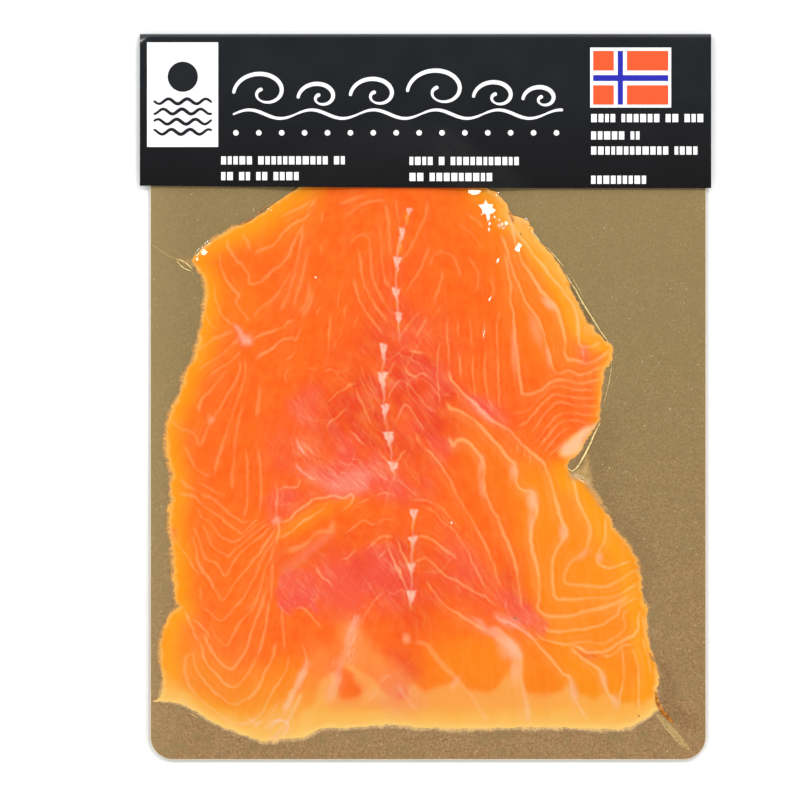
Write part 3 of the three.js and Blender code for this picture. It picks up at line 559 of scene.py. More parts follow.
# White triangles down the middle of the back, as (x, y) of the top, width, length and lean of the tip.
WEDGES = [
    (-4.8, 57.8, 1.6, 3.0, -0.8), (-6.9, 52.0, 2.2, 6.0, -1.0), (-8.5, 43.2, 2.8, 5.0, -0.3),
    (-8.9, 33.6, 2.6, 4.4, 0.0), (-8.3, 26.0, 2.4, 4.6, 0.1), (-12.9, 16.4, 3.0, 6.4, 0.2),
    (-13.0, 7.8, 3.4, 7.0, 0.1), (-12.4, -1.9, 3.2, 5.2, 0.3), (-11.3, -10.2, 3.6, 5.4, 0.4),
    (-9.8, -19.6, 3.2, 4.0, 0.4), (-3.6, -34.2, 2.8, 4.4, -0.2), (-3.7, -42.2, 2.8, 3.6, -0.4),
    (-4.5, -50.2, 2.6, 4.2, 0.0), (-4.5, -58.6, 3.2, 5.0, 0.1),
]
# Wide pads of fat, as (strength, x, y, across, along, angle).
PADS = [
    (0.75, 37.4, 28.8, 3.2, 1.3, -40), (0.4, 33.5, 21, 2.0, 6.0, 14), (0.5, 37.3, 12.5, 1.1, 3.5, 12),
    (0.45, 27.2, 14, 1.3, 8.0, 4), (0.5, 17.5, -4.6, 4.5, 1.2, -42), (0.6, 26.8, -22.2, 1.6, 3.4, 0),
    (0.8, 32.6, -31.2, 2.0, 3.8, 8), (0.5, 32.4, -37.4, 1.2, 3.8, -6), (0.65, 42.0, -41, 1.6, 3.0, 0),
    (0.5, 48.0, -47.6, 2.8, 1.1, 42), (0.6, 53.0, -48.6, 1.4, 1.8, 0), (0.45, 54.3, -86, 1.3, 3.2, 10),
    (0.55, 45, -89, 1.5, 4.4, 14), (0.6, 25.3, -76, 3.6, 4.6, 30), (0.5, 27.3, -83, 1.8, 5.0, -4),
    (0.45, 57.9, -92.5, 1.2, 2.6, 0), (0.5, 16.8, -20.5, 1.2, 3.6, -10), (0.4, 17.2, -27, 1.0, 4.0, 8),
    (0.6, -5.7, -73.2, 1.5, 2.0, 10), (0.5, -54.2, 17.2, 1.4, 1.4, 0), (0.5, -45.3, -37.2, 1.6, 1.6, 0),
    (0.4, -38.4, -85.5, 1.4, 3.2, -28), (0.4, 9.0, -86.5, 1.3, 3.0, -32),
    (0.35, -65.5, -6.5, 1.2, 1.6, 0),
]
# Patches of colour, as (strength, edge, outline), the edge being how softly the outline fades.
AMBER_PATCHES = [
    (0.22, 3.0, "6,-5 18,-8 28,-18 34,-34 32,-46 24,-40 16,-26 8,-14"),
    (0.7, 2.6, "22,66 29,49 33,41 38,33 42,25 44,19 60,16 60,22 46,38 34,54 26,64"),
    (0.3, 4.0, "6,66 14,52 20,42 25,30 28,18 34,10 60,10 60,20 40,46 26,64"),
    (0.6, 3.0, "27,-16 36,-20 44,-24 52,-34 66,-56 75,-94 44,-104 40,-80 33,-64 30,-45 29,-30"),
    (0.36, 3.0, "45,-24 47,-38 48,-52 44,-58 66,-64 68,-74 74,-96 64,-100 80,-60 56,-30"),
    (0.7, 2.5, "-86,-94 -60,-94 -48,-92 -36,-92 -20,-94 0,-93 30,-92 60,-90 80,-86 80,-110 -86,-110"),
    (0.5, 3.0, "-84,-60 -75,-64 -72,-74 -58,-84 -44,-80 -34,-84 -34,-108 -86,-108"),
    (0.26, 4.0, "-74,45 -60,40 -50,30 -56,18 -66,6 -70,-10 -72,-30 -70,-60 -84,-60 -84,0 -76,30"),
    (0.08, 4.0, "-78,-25 -60,-30 -46,-46 -48,-66 -56,-84 -76,-84 -84,-60"),
    (0.35, 2.5, "-4,-78 10,-74 24,-72 36,-72 50,-78 60,-84 60,-92 20,-92 -4,-92"),
    (0.25, 5.0, "0,-64 14,-70 30,-76 40,-90 10,-90 4,-78"),
    (0.44, 1.2, "-27,-33 -30,-36 -36,-40 -44,-43 -45,-40 -38,-35.5 -33,-31.5 -28,-29.8 -22,-30"
        " -23,-33"),
    (0.35, 3.0, "-40,64 -30,64 -36,52 -50,46 -66,44 -62,52 -50,58"),
]
RED_PATCHES = [
    (0.5, 5.0, "-34,-4 -28,8 -18,18 -6,20 6,10 12,-6 8,-20 -4,-24 -20,-20 -32,-14"),
    (0.3, 4.0, "-24,-42 -12,-38 2,-40 6,-54 0,-64 -20,-62"),
    (0.3, 3.5, "-14,44 -4,44 -2,30 -4,16 -14,16 -16,30"),
    (0.9, 0.6, "-30,-1 -24,2 -20,6 -16,8 -13,2 -12,-8 -10,-18 -15,-15.5 -20,-13 -24,-10 -27,-13"
        " -30,-9"),
    (0.85, 0.7, "-12,15 -6,14 0,13 4,8 7,5 9,1 6,-1 3,-4 6,-8 2,-12 -2,-10 -6,-2 -9,-8 -10,-2 -12,6"),
    (0.95, 0.5, "-25.5,-51.5 -22.5,-50 -20.5,-48 -19.8,-49.5 -21,-51.6 -23.5,-52.4"),
    (0.8, 0.9, "-9,-43 -5,-47 -5,-57 -7,-61 -13,-60 -19,-60 -22,-54 -17,-46"),
    (0.6, 1.6, "13,-46 17,-50 22,-57 26,-62 33,-67 29,-57 26,-50 19,-58 17,-54"),
    (0.55, 2.0, "-12,-78 -8,-76 -2,-78 0,-84 -4,-86 -8,-84"),
    (0.35, 5.0, "-20,26 -8,30 6,26 14,10 24,0 30,-6 24,-8 12,0 4,14 -10,18 -20,17"),
    (0.3, 4.0, "-44,-26 -40,-12 -34,4 -22,14 -30,-4 -36,-24"),
    (0.35, 3.0, "-8,-22 -10,-30 2,-31 0,-22 -3,-14"),
    (0.4, 3.0, "-6,-62 0,-56 8,-50 16,-56 20,-62 4,-62 0,-70 -8,-76 -9,-70"),
    (0.5, 1.0, "44,-75.8 48,-76 53,-77.5 54,-79 49,-79"),
    (0.35, 2.4, "-46,-46 -38,-46 -30,-42 -20,-42 -22,-48 -36,-52 -46,-54"),
    (0.3, 2.5, "-12,-45 2,-45 3,-60 -4,-64 -12,-60"),
    (0.4, 0.8, "-8,12 -9,8 -8,6 -5,5 -1,0 2,-3 0,2 2,6 2,12"),
]
PINK_PATCHES = [
    (0.4, 1.2, "-45,-31 -40,-27.6 -30,-27 -20,-26 -13,-27.6 -20,-29.5 -31,-31 -38,-34.4 -43,-35.6"),
    (0.35, 1.8, "-21,-24 -12,-23.6 -4,-26 -4,-33 -12,-31 -20,-30"),
    (0.3, 3.0, "4,-44 12,-48 20,-57 25,-66 16,-66 6,-60 2,-52"),
    (0.7, 1.6, "-39,-20 -36,-24 -31,-26 -27,-29.5 -22,-29 -17,-27 -10,-24 -12,-19 -15,-16 -20,-16"
        " -24,-11 -27,-14 -31,-20"),
    (0.45, 1.2, "-31,-22 -26,-21 -24,-29 -28,-29 -31,-26"),
    (0.6, 1.0, "-49,-30 -45,-27 -39,-27 -40,-31 -43,-36 -45,-39 -48,-37"),
    (0.8, 0.5, "-45,-54 -40,-52.5 -35,-53 -33,-57 -34,-62 -33,-66 -38,-64 -41,-66 -44,-63 -45.5,-60"),
    (0.7, 2.2, "-35,-50 -30,-49 -20,-47 -12,-46 -8,-52 -6,-58 -9,-64 -16,-64 -22,-67 -30,-66 -34,-60"),
    (0.55, 1.4, "-38,2 -33,3 -31,-1 -34,-7 -39,-9 -42,-5 -41,0"),
    (0.6, 0.8, "-40,-0.5 -38,-1 -37,-3 -39,-5 -41,-3"),
    (0.6, 0.6, "20,-59 24,-58.5 29,-61 33,-65 37,-69 35,-72 30,-69 25,-66"),
    (0.7, 1.3, "10,4 14,2 18,0 22,-3 26,-9 20,-7 15,-3 11,1"),
    (0.65, 2.4, "-14,-86 -10,-83 -6,-84 -2,-89 -1,-95 -8,-97 -16,-93"),
    (0.55, 1.4, "-7,-1 -3,-5 0,-9.5 5,-11 8,-13 6,-20 2,-17 -3,-12 -7,-14 -9,-8"),
    (0.45, 2.0, "-14,-24 -10,-22 -5,-24 3,-25 4,-30 -4,-31 -12,-30"),
    (0.4, 1.4, "-39,-12 -34,-9 -31,-13 -32,-18 -37,-18"),
    (0.4, 0.9, "-59,22 -56,21 -53,17.5 -54.5,15 -57,18"),
    (0.5, 0.8, "46.5,16 49,15 49,10.5 47,11"),
    (0.3, 4.0, "-14,20 -4,22 4,16 10,2 2,-2 -6,8"),
    (0.35, 2.0, "2,-36 8,-40 16,-52 19,-59 8,-52 4,-44"),
    (0.4, 3.0, "-48,-6 -40,-12 -38,-22 -46,-24 -49,-14"),
    (0.5, 0.8, "-78.6,-39.5 -77.5,-39.5 -76.5,-43 -77.6,-43.5"),
]
# White skin and torn tissue: a flap at the right, and where the slices are torn.
FLAP = "53,-7.8 49,-9.4 45,-12.2 41.5,-15.5 41.8,-17.6 44,-17.8 46.6,-15.8 48.3,-13 51,-10"
WHITE_PATCHES = [
    (0.5, 0.45, FLAP),
    (0.26, 0.4, "-36.4,-79 -38.4,-83 -41,-89 -43.4,-94.6 -42.6,-95.6 -39.8,-90 -37.4,-85 -35.4,-80"),
    (0.5, 0.35, "-55,-97 -52,-98.6 -49,-98 -46.6,-95 -44.6,-91 -46,-94.6 -48.4,-97.4 -51.6,-99.4"),
    (0.34, 0.5, "12.5,-65.6 16.4,-67.9 19.4,-70.2 22,-70 25,-72.6 28.6,-77.6 28,-80 25,-77 21.6,-73.6"
        " 19.6,-72 16,-69.4"),
    (0.4, 0.4, "-58.8,22.6 -56.8,22 -55,20.2 -52.6,18.8 -52.4,16.8 -54,17.6 -55.2,16.4 -55.6,18.4"
        " -57.4,20.4"),
    (0.16, 0.4, "20.5,-64.3 23,-65.6 26.5,-67.2 30,-69.2 33.4,-73 31,-72.2 27,-70.2 23.4,-69.4 21,-67"),
    (0.22, 1.2, "-37,-20 -33,-23 -29,-24.5 -22,-22 -18,-24 -20,-28.5 -26,-29.5 -31,-27.5 -36,-24"),
    (0.12, 0.7, "-44,-51 -40,-49 -36,-45.5 -31,-41 -28.5,-40 -30,-43 -34,-47 -38,-50.5 -42,-53"),
    (0.2, 0.6, "-19.6,-66 -21.4,-66 -25,-75 -27.6,-84 -30.6,-92 -28.6,-92.6 -26,-86 -23.6,-77"),
]
PALE_PATCHES = [
    (0.06, 4.0, "-76,-64 -60,-72 -48,-82 -44,-98 -62,-100 -80,-92"),
    (0.3, 1.0, "23,62 27,57 31,53.5 36,48 41,41.5 45,34 49,26 53,20 51,19 46,26 42,33 38,39 33,45 28,50"
        " 23,56"),
    (0.75, 0.5, FLAP),
    (0.26, 1.6, "-26,-66 -21,-69 -15,-76 -8,-82 -2,-88 -10,-92 -20,-92 -16,-84 -24,-84 -26,-78"),
    (0.2, 2.4, "-36,-76 -30,-74 -27,-84 -30,-95 -42,-95 -36,-86"),
    (0.42, 1.8, "-88,-83 -76,-87 -70,-93 -64,-96.5 -57,-98.5 -50,-97 -45,-94 -41,-94 -38,-97 -35,-94"
        " -36,-108 -88,-108"),
    (0.36, 0.7, "-38,-96 -34,-93 -32,-86 -28,-84 -27,-87 -25.5,-91 -22,-91.5 -20.3,-89 -22,-85 -24,-81"
        " -20,-83 -17,-84 -14,-88 -7,-92 -4,-87.5 -1,-88.6 3,-88.6 7,-87 10,-85.5 12,-88 17,-89.4"
        " 21,-88.6 24.5,-86 27,-82 28.3,-79 28.9,-80 29.5,-85 31,-89.5 36,-90.3 41,-89 43,-87 46,-90"
        " 50,-91.6 54,-90 57,-90.5 60,-93 64,-92.5 66,-94 71,-92 80,-92 80,-108 -38,-108"),
]
# Torn fibres, as (field, x, y, across, along, angle, count, length, strength, seed).
FEATHERS = [
    ("fat", -25, -22, 13, 5, -35, 80, 4.5, 0.46, 500),
    ("fat", -37, -14, 5, 4, -50, 32, 4.0, 0.55, 600),
    ("fat", -39, -3, 4, 4, -60, 18, 3.0, 0.4, 650),
    ("white", -23, -75, 1.5, 8, 66, 46, 3.5, 0.34, 700),
    ("white", -28, -87, 1.3, 6, 70, 30, 3.0, 0.28, 720),
    ("white", 26, -67.5, 5, 1.3, -36, 44, 1.8, 0.6, 750),
    ("fat", -36, -60, 8, 6, -50, 18, 3.5, 0.3, 800),
    ("fat", 8, -41, 8, 6, -45, 30, 3.0, 0.35, 850),
    ("white", 22, 61, 2.6, 1.8, 62, 30, 2.2, 0.36, 870),
    ("white", 29.4, 53.6, 2.4, 1.8, 52, 30, 2.2, 0.36, 880),
    ("white", 50.6, 19.6, 3.6, 1.6, 66, 30, 2.0, 0.3, 890),
    ("white", 60, -43, 1.6, 6, 30, 36, 1.6, 0.3, 895),
]
# Lines are drawn at this share of their widths, with a haze of fat of this strength beside them.
LINE_WIDTH = 0.72
HAZE = 0.32
WOBBLE, NIBBLE = noise(1.1, 440), noise(0.9, 441)


def covered(below, above):
    """Two layers from 0 to 1 as one, the second laid over the first."""
    return 1 - (1 - below) * (1 - above)


def draw(field, width, strength, softness, line, seed):
    """Draws one fat line into a field: a core that varies in width, and fat that fades out beside it."""
    points = curve(path(line))
    reach = 3 * width + max(1.4, 2.2 * abs(softness))
    place, distance, side, share = near_line(points, reach)
    length = lengths_along(points)[0].sum()
    width = LINE_WIDTH * width
    knots = np.linspace(0, 1, 40)
    uneven = 1 + 0.4 * np.interp(share, knots, noise_along(np.linspace(0, length, 40), 5, seed))
    ends = smooth(share * length, -0.6, 2.5) * smooth((1 - share) * length, -0.6, 2.5)
    core = np.exp(-((distance / (width * uneven)) ** 2))
    soft_side = np.where(side * softness > 0, abs(softness), 0.35 * abs(softness))
    haze = HAZE * np.exp(-distance / (0.6 * soft_side)) * smooth(reach - distance, 0, 0.5 * reach)
    echo = 0.1 * np.exp(-(((distance - width - 1.5) / 0.35) ** 2))
    fat = strength * ends * np.clip(core * uneven + (haze + echo) * (1 - core), 0, 1)
    field[place] = covered(field[place], np.clip(fat, 0, 1))


def draw_wedge(field, x, y, width, length, lean):
    """Draws one white funnel with hollow sides, its thin end down."""
    place = window(x - 4, x + 4, y - 1.6 * length, y + 1.5)
    px, py = X[place] - x, y - Y[place]
    down = np.clip(py / length, -0.5, 1.6)
    half = width * (0.42 * np.clip(1 - down, 0, 1) ** 1.25 + 0.05 * np.clip(1.4 - down, 0, 1))
    across = np.abs(px - lean * down + 0.25 * WOBBLE[place])
    body = smooth(half - across, -0.3, 0.25) * smooth(py + 0.2 * NIBBLE[place], -0.3, 0.4)
    body *= 1 - 0.5 * smooth(down, 0.2, 0.9) - 0.5 * smooth(down, 0.9, 1.4)
    hollow = 0.4 * np.exp(-(px**2 + (py - 0.7) ** 2) / 0.3)
    field[place] = np.maximum(field[place], 0.85 * body * (1 - hollow))


def zone(x, y, across, along, angle=0.0, edge=1.0):
    """A soft oval patch: `edge` 1 fades from its middle out, and near 0 it has a firm rim."""
    turn = math.radians(angle)
    u = ((X - x) * math.cos(turn) + (Y - y) * math.sin(turn)) / across
    v = ((Y - y) * math.cos(turn) - (X - x) * math.sin(turn)) / along
    radius = np.hypot(u, v)
    return 1 - smooth(radius, 1 - edge, 1 + 0.4 * edge)


def zones(*ovals):
    """Several soft ovals of (strength, x, y, across, along, angle, edge) as one field."""
    total = np.zeros(X.shape)
    for strength, *shape in ovals:
        total = covered(total, strength * zone(*shape))
    return total


def feathers(field, x, y, across, along, angle, count, length, strength, seed):
    """Fine torn fibres over an oval patch, all lying about one way."""
    random = np.random.default_rng(seed)
    for k in range(count):
        spin, far = random.uniform(0, 2 * math.pi), math.sqrt(random.uniform(0, 1))
        start = np.array([x + across * far * math.cos(spin), y + along * far * math.sin(spin)])
        lie = math.radians(angle + random.normal(0, 9))
        step = np.array([math.cos(lie), math.sin(lie)]) * length * random.uniform(0.5, 1.3)
        bend = np.array([-step[1], step[0]]) * random.uniform(-0.15, 0.15)
        line = " ".join(f"{a:.2f},{b:.2f}" for a, b in (start, start + step / 2 + bend, start + step))
        draw(field, random.uniform(0.14, 0.26), strength * random.uniform(0.5, 1), 0.3, line, seed + k)


def draw_all(field, groups, seed):
    """Draws groups of lines, the paths in a group parted by slashes."""
    for width, strength, softness, paths in groups:
        for line in paths.split("/"):
            seed += 1
            draw(field, width, strength, softness, line, seed)


def patches(groups, seed):
    """Patches of (strength, edge, outline) with slightly uneven rims."""
    total = np.zeros(X.shape)
    shift_x, shift_y = 0.8 * noise(4, seed), 0.8 * noise(4, seed + 1)
    for strength, edge, outline in groups:
        line = curve(path(outline + " " + outline.split()[0]))
        (x_low, y_low), (x_high, y_high) = line.min(0) - 4 * edge, line.max(0) + 4 * edge
        place = window(x_low, x_high, y_low, y_high)
        margin = int(4 * edge / STEP)
        body = blur(np.pad(inside_of(line)[place].astype(float), margin, mode="edge"), edge)
        body = body[margin:-margin, margin:-margin]
        total[place] = covered(total[place], strength * np.clip(body, 0, 1))
    return sample(total, X + shift_x, Y + shift_y)


def veins(width, size, seed, stretch, angle, cloud):
    """A net of thin lines that comes and goes in clouds of another size."""
    line = smooth(width - np.abs(noise(size, seed, stretch, angle)), 0, width)
    return line * np.clip(0.5 + noise(cloud, seed + 1), 0, 1)


def pale_field():
    """Where the flesh is so thin and torn that it's pale: the rim, the bottom edge and some patches."""
    thin = (0.4 + 0.45 * smooth(-Y, 78, 92)) * (1 - smooth(EDGE + 0.4 * noise(1.2, 71), 0, 1.2))
    above_bottom = Y - BOTTOM.at(X)
    thin_band = 0.45 * (1 - smooth(above_bottom + noise(4, 72), 0.5, 6.5))
    thin_band = thin_band + 0.4 * (1 - smooth(above_bottom, 0, 2.2))
    return 1 - (1 - thin) * (1 - thin_band) * (1 - patches(PALE_PATCHES, 905))


def amber_field():
    """Where the flesh is amber: the rim, narrow beside the notch, patches, and below the white wedges."""
    notch = smooth(X, 36, 44) * smooth(Y, -24, -18) * smooth(16 - Y, 0, 5)
    rim = 1 - smooth(EDGE, 0, 8 - 4.5 * notch)
    amber = np.clip(0.75 * rim + patches(AMBER_PATCHES, 901), 0, 1)
    tips = ((0.6, x + lean, y - length, 0.9, 2.2) for x, y, _, length, lean in WEDGES)
    return np.maximum(amber, zones(*tips))


def flesh_fields():
    """What the flesh's material reads at each place, each from 0 to 1."""
    fat, white = np.zeros(X.shape), np.zeros(X.shape)
    draw_all(fat, FAT_LINES, 100)
    draw_all(white, WHITE_LINES, 400)
    white = np.maximum(white, patches(WHITE_PATCHES, 931))
    for wedge in WEDGES:
        draw_wedge(white, *wedge)
    pads = 1.15 * zones(*(pad + (0.8,) for pad in PADS))
    fat = covered(fat, np.clip(pads, 0, 1))
    fat = fat * (1 - 0.3 * zone(49, -59, 18, 20))
    for angle, where in ((72, X < -8), (97, X >= -8)):
        combed = 0.05 * noise(0.55, angle, 9, angle) + 0.04 * noise(1.4, angle + 1, 7, angle)
        fat = fat + np.where(where, combed, 0)
    red, pink = patches(RED_PATCHES, 911), patches(PINK_PATCHES, 921)
    raw = np.clip(red + pink, 0, 1)
    fat = fat + raw * (0.22 * np.clip(noise(0.5, 81, 7, -52), 0, 1) + 0.12 * noise(2.2, 82, 2.5, -40))
    red = red + raw * (0.35 * noise(1.6, 83, 3, -48) + 0.3 * noise(5, 84, 1.6, -30))
    pink = pink + 0.3 * raw * noise(3.4, 85, 1.8, 20) + 0.55 * pads
    for name, *fibres in FEATHERS:
        feathers({"fat": fat, "white": white}[name], *fibres)
    fat = fat + (0.06 + 0.34 * raw) * veins(0.035, 5, 91, 2.2, -50, 7)
    fat = fat + (0.05 + 0.3 * raw) * veins(0.03, 7, 93, 2.0, 62, 6)
    amber, pale = amber_field(), pale_field()
    fields = {"fat": fat, "white": white, "amber": amber, "red": red, "pink": pink, "pale": pale}
    return {name: np.clip(values, 0, 1) for name, values in fields.items()}


FLESH = flesh_fields()
WARP_X = 0.3 * noise(7, 1) + 0.22 * noise(1.4, 2)
WARP_Y = 0.3 * noise(7, 3) + 0.22 * noise(1.4, 4)


# ---------------------------- heights
def fish_height():
    """Height of the fish's top over the face, without the laps of the slices."""
    rounded = smooth(EDGE, -2.0, FISH_BEVEL)
    waves = 0.14 * noise(19, 41) + 0.03 * noise(6, 42)
    grooves = -0.04 * blur(FLESH["fat"], 0.4)
    pressed = 1 - UNDER_HEADER * smooth(Y, 26, 72)
    return FISH_BOTTOM + FISH_RIM + (FISH_THICKNESS - FISH_RIM + waves) * rounded * pressed + grooves


def lap(below, start):
    """Extra height of a slice where it lies on the one above it, from its edge down, right of x = start."""
    height = LEAST_LAP + (LAP - LEAST_LAP) * smooth(X, start, start + 12)
    return height * np.clip(1 - np.maximum(below, 0) / LAP_LENGTH, 0, 1) ** 2


BASE_HEIGHT = fish_height()
SLICE_HEIGHTS = {
    "upper": BASE_HEIGHT,
    "middle": BASE_HEIGHT + lap(BELOW_SECOND, 0),
    "lower": BASE_HEIGHT + lap(BELOW_THIRD, 18),
}
FISH_TOP = np.select(
    [BELOW_THIRD > 0, BELOW_SECOND > 0], [SLICE_HEIGHTS["lower"], SLICE_HEIGHTS["middle"]], BASE_HEIGHT
)


# ---------------------------- mesh helpers
def new_object(name, data):
    """An object of the scene."""
    made = bpy.data.objects.new(name, data)
    bpy.context.scene.collection.objects.link(made)
    return made


def mesh_piece(name, points, faces, slot, *materials):
    """A mesh object in metres that rides on the pack."""
    mesh = bpy.data.meshes.new(name)
    mesh.from_pydata((np.asarray(points) * MM).tolist(), [], faces)
    mesh.validate()
    piece = new_object(name, mesh)
    for material in materials:
        mesh.materials.append(material)
    mesh.polygons.foreach_set("use_smooth", [True] * len(mesh.polygons))
    mesh.set_sharp_from_angle(angle=math.radians(40))
    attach(piece, "root")
    return piece


def grid_faces(rows, columns, start=0):
    """Quads of a grid of points, listed row by row downwards, facing up."""
    first = (np.arange(rows - 1)[:, None] * columns + np.arange(columns - 1)[None, :]).ravel() + start
    return np.column_stack([first, first + columns, first + columns + 1, first + 1]).tolist()


def grid_rim(rows, columns):
    """The grid's border, counterclockwise seen from above."""
    down = [row * columns for row in range(rows - 1)]
    along = [(rows - 1) * columns + column for column in range(columns - 1)]
    up = [row * columns + columns - 1 for row in range(rows - 1, 0, -1)]
    back = list(range(columns - 1, 0, -1))
    return down + along + up + back


def ring_faces(lower, upper):
    """Quads that join one closed ring of points to the next, given as lists of their numbers."""
    return [list(quad) for quad in zip(lower, lower[1:] + lower[:1], upper[1:] + upper[:1], upper)]


def left_of(line):
    """Unit vectors to the left of a line of points, seen along it."""
    along = np.gradient(line, axis=0)
    along /= np.hypot(*along.T)[:, None]
    return np.column_stack([-along[:, 1], along[:, 0]])


def set_attribute(piece, name, values):
    """Stores one number at each point of a piece."""
    attribute = piece.data.attributes.new(name, "FLOAT", "POINT")
    attribute.data.foreach_set("value", np.asarray(values, dtype=np.float32))


# ---------------------------- material helpers
def node_adder(tree):
    """Empties a node tree, and gives a function that adds a node to it."""
    tree.nodes.clear()

    def node(kind, inputs=None, **settings):
        made = tree.nodes.new(kind)
        for key, value in settings.items():
            setattr(made, key, value)
        for key, value in (inputs or {}).items():
            if isinstance(value, bpy.types.NodeSocket):
                tree.links.new(value, made.inputs[key])
            else:
                made.inputs[key].default_value = value
        return made

    return node


def new_material(name):
    """A material with no nodes yet, and a function that adds a node to it."""
    material = bpy.data.materials.new(name)
    material.use_nodes = True
    return material, node_adder(material.node_tree)


def surface(node, inputs):
    """Ends a material with one shader."""
    shader = node("ShaderNodeBsdfPrincipled", inputs)
    node("ShaderNodeOutputMaterial", {"Surface": shader.outputs["BSDF"]})


def linear(red, green, blue):
    """A screen colour of 0 to 255 as the light values that shaders take."""
    shares = (value / 255 for value in (red, green, blue))
    return tuple(((c + 0.055) / 1.055) ** 2.4 if c > 0.04 else c / 12.92 for c in shares) + (1,)


def lit(red, green, blue):
    """The base colour that shows as the given screen colour under this scene's light."""
    return tuple(value / LIGHT_LEVEL for value in linear(red, green, blue)[:3]) + (1,)


def mixed(node, factor, a, b):
    """Colour a turning into colour b by a factor."""
    return node("ShaderNodeMix", {0: factor, 6: a, 7: b}, data_type="RGBA").outputs[2]


def stored(node, name):
    """The number that a piece stores at each point under a name."""
    return node("ShaderNodeAttribute", attribute_name=name).outputs["Fac"]


def ranged(node, value, low, high, to_low=0.0, to_high=1.0):
    """A value stretched from low..high to another range."""
    limits = {"From Min": low, "From Max": high, "To Min": to_low, "To Max": to_high}
    return node("ShaderNodeMapRange", {"Value": value, **limits}).outputs["Result"]


def object_place(node):
    """The place on the pack, in metres."""
    return node("ShaderNodeTexCoord").outputs["Object"]


def lumps(node, size, detail=2.0, low=0.35, high=0.65):
    """Noise of lumps about `size` mm across, stretched from low..high to 0..1."""
    inputs = {"Vector": object_place(node), "Scale": 1 / (size * MM), "Detail": detail}
    return ranged(node, node("ShaderNodeTexNoise", inputs).outputs["Fac"], low, high)


def bumped(node, height, strength, distance):
    """A surface direction roughened by a height, `distance` mm from low to high."""
    inputs = {"Height": height, "Strength": strength, "Distance": distance * MM}
    return node("ShaderNodeBump", inputs).outputs["Normal"]


def flesh_material():
    """Cured salmon: orange flesh that turns amber at the flanks and red or pink inside, with pale fat."""
    material, node = new_material("salmon_flesh")
    field = {name: stored(node, name) for name in FLESH}
    colour = mixed(node, lumps(node, 3.0, 3.0), lit(255, 102, 30), lit(255, 113, 36))
    colour = mixed(node, field["amber"], colour, lit(255, 158, 30))
    colour = mixed(node, field["red"], colour, lit(238, 74, 42))
    colour = mixed(node, field["pink"], colour, lit(248, 92, 72))
    colour = mixed(node, field["pale"], colour, lit(255, 208, 116))
    fat_colour = mixed(node, field["amber"], lit(255, 166, 100), lit(255, 198, 120))
    fat_colour = mixed(node, field["pale"], fat_colour, lit(255, 190, 146))
    fat_colour = mixed(node, field["pink"], fat_colour, lit(255, 180, 150))
    colour = mixed(node, field["fat"], colour, fat_colour)
    colour = mixed(node, field["white"], colour, lit(255, 208, 184))
    normal = bumped(node, lumps(node, 0.35, 2.0), 0.12, 0.06)
    surface(node, {"Base Color": colour, "Roughness": 0.42, "Normal": normal, "Specular IOR Level": 0.0})
    return material


# ---------------------------- slices
FLESH_MATERIAL = flesh_material()
# A notch or point of a side shifts the grid over this share of the width.
SIDE_SHARE = 0.2


def slice_piece(name, top, bottom, rows, columns, hidden_below):
    """One slice: a fine top from one curve across the fish to another, walls, and a flat underside.
    Below the curve `hidden_below` it dips, to run on under the next slice."""
    across = np.linspace(0, 1, columns)
    near_left = np.clip(1 - across / SIDE_SHARE, 0, 1) ** 2
    near_right = np.clip((across - 1) / SIDE_SHARE + 1, 0, 1) ** 2
    down = np.linspace(0, 1, rows)[:, None]
    left_y = top.left_y + (bottom.left_y - top.left_y) * down
    right_y = top.right_y + (bottom.right_y - top.right_y) * down
    left, right = LEFT.broad_at(left_y), RIGHT.broad_at(right_y)
    x = left + (right - left) * across
    x = x + (LEFT.at(left_y) - left) * near_left + (RIGHT.at(right_y) - right) * near_right
    top_y, bottom_y = top.at(x[0]), bottom.at(x[-1])
    y = top_y + (bottom_y - top_y) * down
    z = sample(SLICE_HEIGHTS[name], x, y)
    if hidden_below is not None:
        z = z - TUCK_DEPTH * smooth(hidden_below.at(x) - y, 0.6, 1.8)
    upper = np.column_stack([x.ravel(), y.ravel(), z.ravel()])
    rim = grid_rim(rows, columns)
    wall = upper[rim].copy()
    wall[:, 2] = FISH_FOOT
    foot = list(range(len(upper), len(upper) + len(rim)))
    faces = grid_faces(rows, columns) + ring_faces(foot, rim) + [foot[::-1]]
    points = np.vstack([upper, wall])
    piece = mesh_piece(f"salmon_{name}_flesh", points, faces, f"salmon_{name}", FLESH_MATERIAL)
    x, y, _ = points.T
    warped_x, warped_y = x + sample(WARP_X, x, y), y + sample(WARP_Y, x, y)
    for field, values in FLESH.items():
        set_attribute(piece, field, sample(values, warped_x, warped_y))
    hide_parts(f"salmon_slice_{name}")


# The three slices, each tucked under the next, with the rows and columns of their grids.
slice_piece("upper", TOP, SECOND.lowered(TUCK), 206, 480, SECOND)
slice_piece("middle", SECOND, THIRD.lowered(TUCK), 202, 490, THIRD)
slice_piece("lower", THIRD, BOTTOM, 200, 495, None)


# ---------------------------- skirt of thin flesh
# Its cross section as (share of the reach, height over the card, cover), from inside the fish out to the rim
# and back below.
SKIRT_SECTION = [
    (-0.4, 0.5, 1.0), (0.0, 0.42, 0.95), (0.25, 0.3, 0.8), (0.5, 0.2, 0.58), (0.75, 0.12, 0.3),
    (1.0, 0.06, 0.0), (-0.4, 0.03, 1.0),
]
SKIRT_STEP = 0.16
